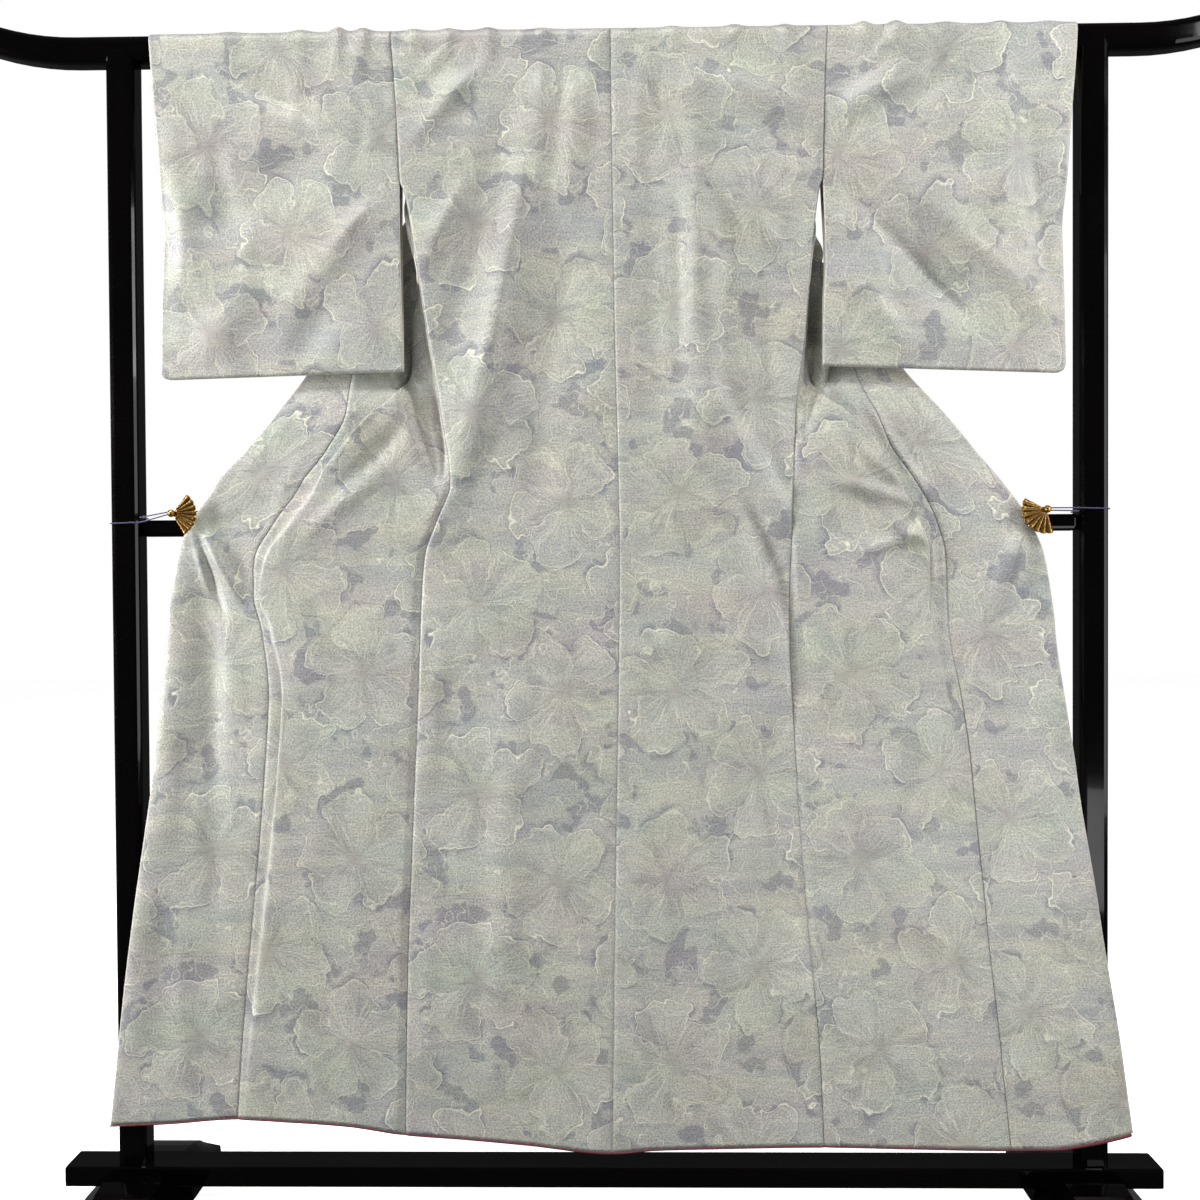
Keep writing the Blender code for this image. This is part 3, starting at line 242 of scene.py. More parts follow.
# cloth widths: how far the front's side stands beyond the back's, the pleat's top layer, the tuck
# under it, the whole front, and the overlap panel sewn to it
FRONT = {
    LEFT: chart(
        "height spread pleat tuck front overlap",
        (1.615, .000, -.012, .206, .200, .000), (1.576, .000, -.012, .196, .1852, .000),
        (1.536, .000, -.012, .186, .179, .000), (1.497, .000, -.012, .175, .193, .000),
        (1.457, .000, -.012, .164, .222, .000), (1.418, .000, -.012, .1525, .252, .000),
        (1.378, .0085, -.012, .137, .252, .000), (1.338, .007, -.010, .116, .247, .000),
        (1.300, .0025, -.003, .105, .243, .015), (1.240, .000, .028, .0835, .242, .034),
        (1.155, .000, .045, .062, .241, .065), (1.120, .000, .070, .057, .241, .086),
        (1.100, .000, .098, .054, .241, .099), (1.050, .000, .152, .036, .241, .113),
        (1.000, .000, .1935, .0155, .241, .120), (0.950, .000, .207, .0076, .241, .119),
        (0.900, .000, .222, .002, .241, .107), (0.850, .000, .226, .001, .236, .115),
        (0.800, .000, .212, .010, .240, .131), (0.700, .000, .196, .0165, .240, .152),
        (0.600, .000, .199, .0155, .240, .156), (0.400, .000, .209, .011, .240, .166),
        (0.200, .000, .223, .0045, .240, .174), (0.050, .000, .232, .0005, .240, .180)),
    RIGHT: chart(
        "height spread pleat tuck front overlap",
        (1.615, .000, -.012, .220, .214, .000), (1.576, .000, -.012, .208, .1972, .000),
        (1.536, .000, -.012, .199, .192, .000), (1.497, .000, -.012, .190, .208, .000),
        (1.457, .000, -.012, .179, .236, .000), (1.418, .000, -.012, .1645, .2522, .000),
        (1.378, .000, -.012, .1455, .250, .000), (1.338, .003, -.011, .127, .248, .000),
        (1.300, .002, -.002, .1165, .246, .014), (1.240, .000, .005, .1015, .245, .034),
        (1.155, .000, .021, .084, .245, .069), (1.120, .000, .0387, .0745, .245, .085),
        (1.100, .000, .0684, .068, .245, .092), (1.050, .000, .118, .0565, .245, .112),
        (1.000, .000, .147, .0387, .245, .1185), (0.950, .000, .1765, .024, .245, .125),
        (0.900, .000, .1967, .0168, .245, .1346), (0.850, .000, .198, .0154, .245, .141),
        (0.800, .000, .201, .0146, .245, .1456), (0.700, .000, .217, .007, .245, .1415),
        (0.600, .000, .232, .0026, .245, .1426), (0.400, .000, .238, .0005, .246, .153),
        (0.200, .000, .242, .0005, .251, .165), (0.050, .000, .250, .0005, .260, .171))}
# room between the tuck and the cloth that runs outward behind it
STAND_OFF = chart(
    "height gap",
    (1.615, .012), (1.576, .016), (1.536, .018), (1.497, .012), (1.457, .008), (1.418, .006),
    (1.30, .004), (0.0, .004))
# how far back each line of the front lies
FRONT_DEPTH = chart(
    "height behind turn inner_turn seam edge",
    (1.615, .0424, .0212, .0212, .0255, .0255), (1.558, .040, .0210, .0210, .025, .025),
    (1.508, .035, .018, .020, .024, .024), (1.438, .0292, .015, .018, .022, .021),
    (1.378, .025, .008, .015, .018, .016), (1.338, .014, -.002, .013, .014, .012),
    (1.300, .000, -.014, .009, .009, .007), (1.240, .000, .005, .007, .006, .004),
    (1.155, .000, .002, .002, .002, .000), (1.120, .000, -.014, -.009, -.005, -.006),
    (1.100, .000, -.020, -.014, -.009, -.009), (1.050, .000, -.025, -.020, -.014, -.014),
    (1.000, .000, -.0255, -.0225, -.018, -.019), (0.950, .000, -.0255, -.024, -.0205, -.022),
    (0.900, .000, -.0245, -.0235, -.0215, -.0235), (0.800, .000, -.0245, -.0240, -.0225, -.025),
    (0.600, .000, -.0247, -.0242, -.0232, -.026), (0.400, .000, -.0248, -.0245, -.0238, -.027),
    (0.050, .000, -.0252, -.0252, -.0245, -.028))
HEM = chart(
    "x height",
    (-.702, .109), (-.618, .112), (-.524, .118), (-.444, .114), (-.366, .108), (-.285, .096),
    (-.204, .090), (-.115, .082), (.003, .070), (.063, .075), (.129, .077), (.296, .080),
    (.413, .078), (.554, .076), (.611, .077), (.659, .085), (.703, .095), (.725, .101))
# creases: a soft ridge, or a trough where rise is negative, from (x0, z0) to (x1, z1)
FOLD_COLUMNS = ("x0", "z0", "x1", "z1", "bow", "half_width", "rise")
BACK_FOLDS = (
    (-.075, 1.600, -.252, .890, -.016, .026, .0165),
    (-.130, 1.560, -.262, 1.060, -.014, .024, -.0080),
    (-.155, 1.600, -.280, 1.450, .004, .022, .0070),
    (-.205, 1.420, -.262, 1.270, .000, .018, .0070),
    (-.040, 1.590, -.050, 1.330, .000, .020, .0070),
    (-.052, 1.400, -.110, .880, -.006, .030, -.0075),
    (.100, 1.600, .310, 1.490, .010, .022, .0100),
    (.112, 1.590, .128, .980, -.010, .028, .0160),
    (.062, 1.560, .070, 1.020, -.006, .026, -.0070),
    (.125, 1.140, .275, .880, .000, .022, .0165),
    (.140, 1.450, .262, 1.280, .000, .020, .0120),
    (.210, 1.300, .236, .980, .000, .024, -.0090),
    (.150, 1.120, .300, .600, -.012, .022, -.0145),
    (.112, 1.080, .228, .640, -.008, .022, .0080),
    (.190, .700, .262, .280, -.010, .028, -.0135),
    (-.120, .780, -.150, .200, .006, .040, .0100))
BACK_CREASES = (
    (-.156, 1.590, -.273, 1.463, .000, .009, .0031),
    (-.208, 1.605, -.257, 1.553, .002, .008, .0034),
    (-.188, 1.423, -.249, 1.300, .002, .009, .0031),
    (-.096, 1.500, -.160, 1.130, -.010, .010, -.0037),
    (-.120, 1.560, -.232, .980, -.015, .012, -.0034),
    (-.020, 1.610, -.028, 1.400, .001, .008, .0017),
    (-.055, 1.600, -.064, 1.420, -.002, .009, -.0024),
    (-.086, 1.590, -.092, 1.480, .000, .007, .0017),
    (-.140, 1.180, -.212, .965, -.004, .011, .0031),
    (-.050, 1.250, -.075, 1.020, .003, .014, .0020),
    (-.215, .850, -.258, .520, .004, .016, .0034),
    (-.062, .900, -.078, .350, .004, .020, .0020),
    (-.168, .640, -.196, .140, -.006, .020, -.0027),
    (-.248, .430, -.262, .120, .000, .014, .0024),
    (.108, 1.618, .177, 1.560, .000, .009, .0031),
    (.177, 1.565, .298, 1.508, .004, .010, .0037),
    (.237, 1.610, .298, 1.553, .001, .008, .0034),
    (.137, 1.436, .257, 1.300, .002, .009, .0031),
    (.119, 1.487, .121, 1.183, -.005, .009, .0031),
    (.096, 1.480, .100, 1.120, -.004, .011, -.0034),
    (.128, 1.170, .268, .925, .002, .010, .0037),
    (.050, 1.600, .046, 1.420, .001, .009, .0020),
    (.074, 1.590, .080, 1.500, .000, .008, -.0017),
    (.190, 1.440, .275, 1.370, .002, .009, .0024),
    (.174, .700, .243, .340, -.006, .014, -.0031),
    (.095, .880, .110, .420, -.004, .020, .0024),
    (.225, .620, .262, .230, .004, .016, .0024),
    (.050, .560, .048, .180, .002, .016, .0017),
    (.452, .958, .292, 1.006, .003, .008, .0090),
    (.450, .966, .305, 1.080, -.003, .008, .0100),
    (.455, .944, .335, .898, -.003, .009, .0080),
    (.372, .952, .461, .906, .002, .009, .0090),
    (.300, 1.080, .410, .930, .004, .012, .0080),
    (-.270, 1.172, -.400, 1.040, -.004, .010, .0100),
    (-.262, 1.110, -.372, .985, -.004, .012, -.0080),
    (-.300, 1.040, -.420, .930, -.004, .011, .0070))
OUTER_FOLDS = (
    (-.562, .945, -.500, .840, .004, .012, .0083),
    (-.570, .930, -.560, .560, -.010, .020, -.0075),
    (.566, .935, .520, .800, -.006, .012, .0083),
    (.580, .925, .600, .560, .008, .020, -.0075),
    (-.640, .620, -.668, .160, .000, .026, .0075),
    (.640, .640, .690, .150, .000, .026, .0075))
OUTER_CREASES = (
    (-.576, .945, -.552, .850, .000, .0060, .0050),
    (-.564, .950, -.505, .830, .001, .0065, .0060),
    (-.572, .940, -.530, .810, .000, .0060, -.0060),
    (-.335, 1.245, -.556, .972, .004, .010, -.0030),
    (-.351, 1.165, -.363, 1.070, .002, .007, .0030),
    (-.420, 1.060, -.470, .920, .004, .010, .0018),
    (-.600, .900, -.632, .330, -.006, .020, .0042),
    (-.536, .880, -.548, .300, .006, .017, -.0030),
    (-.470, .860, -.452, .250, -.004, .022, .0036),
    (-.404, .930, -.362, .300, .004, .020, .0027),
    (-.335, .860, -.305, .200, .000, .018, .0021),
    (-.600, .500, -.590, .160, .003, .014, .0024),
    (.570, .940, .546, .860, .000, .0060, .0050),
    (.560, .930, .515, .800, .001, .0065, .0060),
    (.551, .945, .560, .905, .000, .0040, -.0036),
    (.335, 1.240, .556, .972, -.004, .010, -.0030),
    (.322, 1.165, .354, 1.084, .004, .007, .0027),
    (.345, 1.150, .455, .965, .006, .008, .0060),
    (.416, .903, .452, .905, .000, .0045, .0027),
    (.450, .915, .452, .850, .002, .0045, .0027),
    (.594, .910, .622, .330, .006, .020, .0042),
    (.543, .880, .556, .300, -.006, .017, -.0030),
    (.484, .850, .472, .250, .004, .020, .0033),
    (.404, .850, .384, .250, -.004, .018, .0024),
    (.330, .800, .318, .200, .003, .016, .0018),
    (.610, .480, .628, .160, -.003, .014, .0021))
# on the inner side, behind the bar, where the folded fronts hang
REAR_FOLDS = (
    (-.260, 1.580, -.215, 1.360, .006, .014, .0016),
    (-.190, 1.560, -.240, 1.400, -.004, .012, -.0014),
    (-.140, 1.590, -.165, 1.500, .000, .010, .0012),
    (.275, 1.590, .225, 1.380, -.005, .014, .0016),
    (.205, 1.570, .250, 1.410, .004, .012, -.0014),
    (.145, 1.580, .175, 1.500, .000, .010, .0012))


def smooth_curve(knots, values, at):
    """Monotone cubic through (knots, values): the slope at a knot is the harmonic mean of its
    neighbours' slopes, or zero at a peak, so the curve never overshoots the table."""
    order = np.argsort(knots)
    x = np.array(knots, float)[order]
    y = np.array(values, float)[order]
    step = np.diff(x)
    slope = np.diff(y) / step
    tangent = np.zeros_like(y)
    tangent[0], tangent[-1] = slope[0], slope[-1]
    same = slope[:-1] * slope[1:] > 0
    safe = np.where(same, slope[:-1] + slope[1:], 1.0)
    tangent[1:-1] = np.where(same, 2 * slope[:-1] * slope[1:] / safe, 0.0)
    at = np.clip(at, x[0], x[-1])
    cell = np.clip(np.searchsorted(x, at) - 1, 0, len(step) - 1)
    t = (at - x[cell]) / step[cell]
    return (y[cell] * (1 + 2 * t) * (1 - t) ** 2 + step[cell] * tangent[cell] * t * (1 - t) ** 2
            + y[cell + 1] * t * t * (3 - 2 * t) + step[cell] * tangent[cell + 1] * t * t * (t - 1))


def column(table, name, at):
    """Reads one named column of a table along its first column."""
    rows = table["rows"]
    return smooth_curve(rows[:, 0], rows[:, table["columns"].index(name)], at)


def ease(low, high, at):
    """Smooth step from 0 at low to 1 at high: t squared times (3 - 2 t)."""
    t = np.clip((at - low) / (high - low), 0, 1)
    return t * t * (3 - 2 * t)


def relief(folds, x, z):
    """Sum of the folds: across a fold its height falls off as a bell, along it as a half sine, and
    a bow bends it sideways as a parabola."""
    total = np.zeros_like(x)
    for row in folds:
        fold = dict(zip(FOLD_COLUMNS, row))
        along = np.array((fold["x1"] - fold["x0"], fold["z1"] - fold["z0"]))
        length = np.hypot(*along)
        along = along / length
        run = ((x - fold["x0"]) * along[0] + (z - fold["z0"]) * along[1]) / length
        away = (x - fold["x0"]) * along[1] - (z - fold["z0"]) * along[0]
        inside = np.clip(run, 0, 1)
        away = away - 4 * fold["bow"] * inside * (1 - inside)
        total += fold["rise"] * np.exp(-(away / fold["half_width"]) ** 2) * np.sin(math.pi * inside)
    return total


def sewn_edge(side, table, name, z):
    """x of an edge that is sewn to the sleeve above the sleeve joint and free of it below."""
    return np.where(z >= SLEEVE_JOIN, column(SLEEVE_SEAM[side], "x", z), column(table, name, z))


def front_side(side, z):
    """x of the front's side edge: the back's, and a little beyond it where both hang free."""
    return sewn_edge(side, BACK_SIDE[side], "x", z) + side * column(FRONT[side], "spread", z)


def over_bar(length):
    """Cloth laid over the bar, by the length from its crest (negative on the viewer's side): flat
    top, quarter rounds, then straight down. Returns y and z."""
    run = np.abs(length)
    turn = np.clip((run - DRAPE_FLAT) / DRAPE_ROUND, 0, math.pi / 2)
    y = np.minimum(run, DRAPE_FLAT) + DRAPE_ROUND * np.sin(turn)
    drop = np.maximum(run - DRAPE_HALF, 0)
    return np.sign(length) * y, DRAPE_TOP - DRAPE_ROUND * (1 - np.cos(turn)) - drop


def back_depth(z):
    """The back hangs straight from the bar and comes slightly forward towards the hem."""
    return -0.0212 - 0.0021 * (SHOULDER - z)


# small ridges that cross the bar where creases begin: x, half width and height
RIPPLES = ((-.520, .016, .0020), (-.420, .014, .0035), (-.367, .010, .0060), (-.333, .011, .0048),
           (-.262, .012, .0026), (-.215, .009, .0030), (-.160, .010, .0036), (-.085, .012, .0018),
           (.095, .012, .0020), (.180, .012, .0030), (.250, .010, .0024), (.357, .010, .0046),
           (.402, .010, .0052), (.470, .016, .0026), (.545, .012, .0028), (.610, .014, .0020))


def ripple(x):
    """Height of the ridges over the bar at x: a sum of bells."""
    return sum(rise * np.exp(-((x - at) / wide) ** 2) for at, wide, rise in RIPPLES)


def rippled_bar(length, x):
    """over_bar pushed outward by the ripple. Returns y and z."""
    y, z = over_bar(length)
    tilt = np.sign(length) * np.clip((np.abs(length) - DRAPE_FLAT) / DRAPE_ROUND, 0, math.pi / 2)
    return y + ripple(x) * np.sin(tilt), z + ripple(x) * np.cos(tilt)


def near_bar(x, z):
    """The ripple's share on the cloth that hangs from the bar: it fades out 50 mm below."""
    return ripple(x) * ease(SHOULDER - 0.050, SHOULDER, z)


def seam_pull(away):
    """A sewn seam draws the cloth in: SEAM_DIP deep at the seam, a bell SEAM_DIP_WIDE beside it."""
    return SEAM_DIP * np.exp(-(away / SEAM_DIP_WIDE) ** 2)


def back_surface(side, part, z):
    """The back panel, part running from 0 at the centre seam to 1 at the side: it hangs at
    back_depth, drawn in at its seams, less its folds. Also gives the cloth width from the seam."""
    centre = column(CENTRE_SEAM, "x", z) + side * SEAM / 2
    edge = sewn_edge(side, BACK_SIDE[side], "x", z) - side * SEAM / 2
    x = centre + part * (edge - centre)
    hang = ease(SHOULDER - 0.03, SHOULDER - 0.08, z)
    small = ease(SHOULDER + 0.002, SHOULDER - 0.02, z)
    y = back_depth(z) - relief(BACK_FOLDS, x, z) * hang - relief(BACK_CREASES, x, z) * small
    return x, y + seam_pull(x - centre) + seam_pull(edge - x) - near_bar(x, z)


# below the armhole the front drops away behind the back's edge, so a dark channel runs down
# beside it
CHANNEL = {
    LEFT: chart(
        "height deep wide",
        (1.400, .000, .050), (1.360, .018, .070), (1.300, .036, .080), (1.200, .040, .076),
        (1.120, .038, .058), (1.060, .030, .044), (1.020, .016, .032), (0.990, .000, .024)),
    RIGHT: chart(
        "height deep wide",
        (1.400, .000, .050), (1.360, .018, .070), (1.300, .036, .076), (1.200, .038, .064),
        (1.150, .030, .046), (1.100, .015, .034), (1.060, .000, .026))}


CHANNEL_LIP, CHANNEL_DROP = 0.0015, 0.012


def channel(side, x, z):
    """How far the channel lies back: it drops within 12 mm of the back's edge and comes up again
    over its outer half."""
    out = side * (x - sewn_edge(side, BACK_SIDE[side], "x", z))
    wide = column(CHANNEL[side], "wide", z)
    rises = 1 - ease(0.5 * wide, wide, out)
    return column(CHANNEL[side], "deep", z) * ease(CHANNEL_LIP, CHANNEL_DROP, out) * rises


def turn_round(tuck):
    """Round of the pleat's two turns: 5 mm, and up to 8 mm more where the tuck is 12 mm deep."""
    return PLEAT_ROUND + 0.008 * np.exp(-((tuck - 0.012) / 0.008) ** 2)


def opened(tuck):
    """How far the pleat stands open: 1 - exp(-tuck / 12 mm)."""
    return 1 - np.exp(-tuck / 0.012)


def facing(z):
    """The share of the front that faces the viewer: none of it above the side seam's top, and all
    of it 80 mm below."""
    return ease(SIDE_SEAM_TOP, SIDE_SEAM_TOP - 0.08, z)


def outward_run(side, s, z):
    """How far back the front's outward run lies at cloth width s: it starts at the tuck's inner
    turn, set off where the pleat stands open, and goes to the overlap seam and on to the edge."""
    pleat, tuck, front, overlap = (column(FRONT[side], name, z)
                                   for name in ("pleat", "tuck", "front", "overlap"))
    start = column(FRONT_DEPTH, "inner_turn", z) + column(STAND_OFF, "gap", z) * opened(tuck)
    seam = column(FRONT_DEPTH, "seam", z)
    edge = column(FRONT_DEPTH, "edge", z)
    to_seam = ease(0, 1, (s - pleat - tuck) / np.maximum(front - pleat - tuck, 0.045))
    to_edge = ease(0, 1, (s - front) / np.maximum(overlap, 0.004))
    return start + (seam - start) * to_seam + (edge - seam) * to_edge


def front_surface(side, s, z):
    """The front at cloth width s from the side seam. It runs outward as the pleat's top layer,
    turns back inward as the tuck, turns again and runs outward to the overlap seam and the edge.
    Each turn is a hyperbola, t + sqrt(t squared + round squared)."""
    pleat, tuck, front = (column(FRONT[side], name, z) for name in ("pleat", "tuck", "front"))
    first, second = s - pleat, s - pleat - tuck
    soft = turn_round(tuck)

    def bend(t):
        """One rounded turn: 0 well before it and 2 t well after it."""
        return t + np.sqrt(t * t + soft ** 2)

    outward = s - bend(first) + bend(second) + bend(-pleat) - bend(-pleat - tuck)
    # clear of the back by 2 mm beside the armhole, and sewn below it and to the sleeve above
    wide = SEAM / 2 + 0.0020 * ease(1.03, 1.14, z)
    gap = wide - (wide + SEAM / 2) * ease(SIDE_SEAM_TOP + 0.04, SLEEVE_JOIN - 0.01, z)
    x = front_side(side, z) + side * (outward + gap)

    # how far back the three layers lie, and the share that each has here
    side_y = back_depth(z) + column(FRONT_DEPTH, "behind", z)
    turn = column(FRONT_DEPTH, "turn", z)
    inner = column(FRONT_DEPTH, "inner_turn", z)
    ridge = turn - 0.008 * opened(tuck)
    top_layer = side_y + (ridge - side_y) * np.clip(s / np.maximum(pleat, 0.004), 0, 1) ** 1.3
    tucked = turn + (inner - turn) * np.clip(first / np.maximum(tuck, 0.004), 0, 1)
    past_ridge = 0.5 + 0.5 * first / np.sqrt(first ** 2 + soft ** 2)
    past_inner = 0.5 + 0.5 * second / np.sqrt(second ** 2 + soft ** 2)
    y = (top_layer * (1 - past_ridge) + tucked * past_ridge * (1 - past_inner)
         + outward_run(side, s, z) * past_ridge * past_inner)
    at_start = 0.5 - 0.5 * pleat / np.sqrt(pleat ** 2 + PLEAT_ROUND ** 2)
    y = y + (side_y - turn) * at_start * np.exp(-(s / 0.015) ** 2)

    # the folds and seams of the layers that face the viewer, then the bar's ridges
    shows = facing(z)
    top_folds = relief(BACK_FOLDS, x, z) + relief(BACK_CREASES, x, z)
    out_folds = relief(OUTER_FOLDS, x, z) + relief(OUTER_CREASES, x, z)
    y = y - top_folds * (1 - past_ridge) * shows - out_folds * past_inner * shows
    y = y + seam_pull(s) * shows + seam_pull(s - front) * past_inner * shows
    y = y + near_bar(x, z)
    y = y + channel(side, x, z)
    # above the knee of the side seam the front's edge slips inward and behind the back's
    slipped = ease(1.02, 1.06, z) * (1 - ease(1.30, 1.36, z)) * np.exp(-(s / 0.005) ** 2)
    x, y = x - side * 0.0034 * slipped, y + 0.0025 * slipped
    # the inner side's folds, on the tuck, above the side seam
    rear = ease(SIDE_SEAM_TOP, SIDE_SEAM_TOP + 0.06, z) * ease(0.0, 0.02, s)
    return x, y + relief(REAR_FOLDS, x, z) * rear * past_ridge * (1 - past_inner)


def hem_height(x):
    """Height of the hem at x."""
    return column(HEM, "height", x)


def drop_to_hem(height, hem):
    """Rows below SPREAD_BELOW are spread evenly between it and the hem."""
    lowered = SPREAD_BELOW - (SPREAD_BELOW - hem) * (SPREAD_BELOW - height) / SPREAD_BELOW
    return np.where(height >= SPREAD_BELOW, height, lowered)


def front_widths(side, z):
    """Cloth widths of the front's columns, from the side seam to the overlap seam, close together
    at the pleat's two turns: BODY_BANDS bands, each split evenly."""
    pleat, tuck, front = (column(FRONT[side], name, z) for name in ("pleat", "tuck", "front"))
    soft = 0.9 * turn_round(tuck)
    tuck = tuck + np.minimum(pleat, 0)
    pleat = np.maximum(pleat, 0)
    turn = np.minimum(0.005, tuck / 3)
    rest = np.maximum(front - pleat - tuck - soft, 0)
    bands = [0.38 * pleat, 0.37 * pleat, 0.25 * pleat - soft, np.minimum(soft, pleat), turn,
             tuck / 2 - turn, tuck / 2 - turn, turn, soft, rest / 3, rest / 3, rest / 3]
    bands = np.maximum(np.stack(bands, axis=-1), 0.0006)
    bands = bands * ((front - SEAM / 2) / bands.sum(axis=-1))[..., None]
    widths = np.repeat(bands / BAND_SPLIT, BAND_SPLIT, axis=-1)
    return np.concatenate((np.zeros((*z.shape, 1)), np.cumsum(widths, axis=-1)), axis=-1)


def back_rows(side):
    """Back panel, hem to shoulder by centre seam to side. Returns x, y, z, cloth u, cloth v and
    the distance to the nearest seam."""
    part = np.linspace(0, 1, BODY_BANDS * BAND_SPLIT + 1)[None, :]
    foot_x, _ = back_surface(side, part, np.full_like(part, FOOT))
    height = np.linspace(0, SHOULDER, BODY_ROWS)[:-1, None]
    z = drop_to_hem(height + 0 * part, hem_height(foot_x))
    x, y = back_surface(side, np.broadcast_to(part, z.shape), z)
    u = x - x[:, :1]
    return x, y, z, u, z.copy(), np.minimum(abs(u), abs(u[:, -1:] - u))


def shoulder_rows(side):
    """The cloth over the bar; its inner edge is the neckline, which leaves the centre seam on the
    viewer's side and is cut back to the neck's width behind."""
    length = np.linspace(-DRAPE_HALF, DRAPE_HALF, BAR_ROWS)[:, None]
    even = np.linspace(0, 1, BODY_BANDS * BAND_SPLIT + 1)[None, :]
    top = np.array([SHOULDER])
    folded = 1 - front_widths(side, top)[0, ::-1] / column(FRONT[side], "front", top)
    part = even + (folded - even) * ease(-DRAPE_HALF, DRAPE_HALF, length)
    cut = ease(-0.6 * DRAPE_HALF, DRAPE_HALF, length)
    centre = column(CENTRE_SEAM, "x", np.full_like(length, 1.62)) + side * SEAM / 2
    neck = centre * (1 - cut) + side * NECK * cut
    edge = column(SLEEVE_SEAM[side], "x", np.full_like(length, 1.62)) - side * SEAM / 2
    x = neck + part * (edge - neck)
    y, z = rippled_bar(length, x)
    return (x, y, z, x - centre, SHOULDER + DRAPE_HALF + length + 0 * x,
            np.minimum(np.abs(x - neck), np.abs(edge - x)))


def front_rows(side):
    """The front, shoulder to hem by overlap seam to side. Returns what back_rows returns."""
    foot_s = front_widths(side, np.array([FOOT]))
    foot_x, _ = front_surface(side, foot_s, np.full_like(foot_s, FOOT))
    height = np.linspace(SHOULDER, 0, BODY_ROWS)[1:, None]
    z = drop_to_hem(height + 0 * foot_x, hem_height(foot_x))
    each = np.arange(z.shape[1])
    s = front_widths(side, z)[:, each, each]
    x, y = front_surface(side, s, z)
    front = s[:, -1:]
    v = SHOULDER + 2 * DRAPE_HALF + (SHOULDER - z)
    seam = np.minimum(s, front - s)
    return tuple(np.ascontiguousarray(a[:, ::-1]) for a in (x, y, z, side * s, v, seam))


def cloth_shell(name, place, cloth, marks, materials, flip, wall=SHELL, offset=-1, ring=False,
                extra=(), rim=0):
    """One piece of cloth: a grid of points joined into quads and given its wall. place is x, y and
    z; cloth is each point's own place (u, v) on the flat cloth, in metres, kept as the UV map;
    marks are distances kept as attributes; ring joins the last row to the first; extra are more
    faces; rim is the number in materials of the one on the wall's edge."""
    points = np.stack(np.broadcast_arrays(*place), axis=-1)
    cloth = np.stack(np.broadcast_arrays(*cloth), axis=-1)
    rows, columns = points.shape[:2]
    index = np.arange(rows * columns).reshape(rows, columns)
    if ring:
        index = np.concatenate((index, index[:1]))
    quads = np.stack((index[:-1, :-1], index[1:, :-1], index[1:, 1:], index[:-1, 1:]), axis=-1)
    quads = quads.reshape(-1, 4)
    quads = quads[:, ::-1] if flip else quads
    quads = np.concatenate((quads, np.array(extra, int).reshape(-1, 4)))
    mesh = bpy.data.meshes.new(name)
    mesh.from_pydata(points.reshape(-1, 3).tolist(), [], quads.tolist())
    uv = cloth.reshape(-1, 2)[quads]
    if ring:                       # the strip that closes the ring has no cloth length of its own
        strip = slice((rows - 1) * (columns - 1), rows * (columns - 1))
        uv[strip, :, 1] = uv[strip, :, 1].min(axis=1, keepdims=True)
    mesh.uv_layers.new(name="cloth").data.foreach_set("uv", uv.astype(np.float32).ravel())
    for mark, distance in marks.items():
        layer = mesh.attributes.new(mark, "FLOAT", "POINT")
        layer.data.foreach_set("value", distance.astype(np.float32).ravel())
    mesh.shade_smooth()
    for material in materials:
        mesh.materials.append(material)
    piece = bpy.data.objects.new(name, mesh)
    bpy.context.collection.objects.link(piece)
    lining = piece.modifiers.new("lining", "SOLIDIFY")
    lining.thickness, lining.offset = wall, offset
    lining.material_offset = len(materials) - 1
    lining.material_offset_rim = rim
    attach(piece, "root")
    return piece


# Figured silk for a formal robe, jacquard woven in silver grey: open blossoms 130-180 mm across
# with ruffled petals, drawn in thin cream floats that come and go, on a cloudy ground of lilac
# grey, sage and slate. They come again every 262 mm along the length, in staggered columns. The
# yarn is uneven, so it shows fine streaks and specks, and its sheen is soft.
FIGURE_WIDTH, REPEAT = 0.480, 0.262
BLOSSOM_COLUMNS = ("u", "v", "size", "turn")
BLOSSOMS = ((0.045, 0.062, 0.086, 0.35), (0.163, 0.190, 0.078, 0.62),
            (0.285, 0.050, 0.090, 0.10), (0.402, 0.186, 0.080, 0.80))
PETALS, BLOSSOM = 5, 0.083           # a blossom's petals, and its radius on average
LINING_SEAM = 0.55                   # above the floor


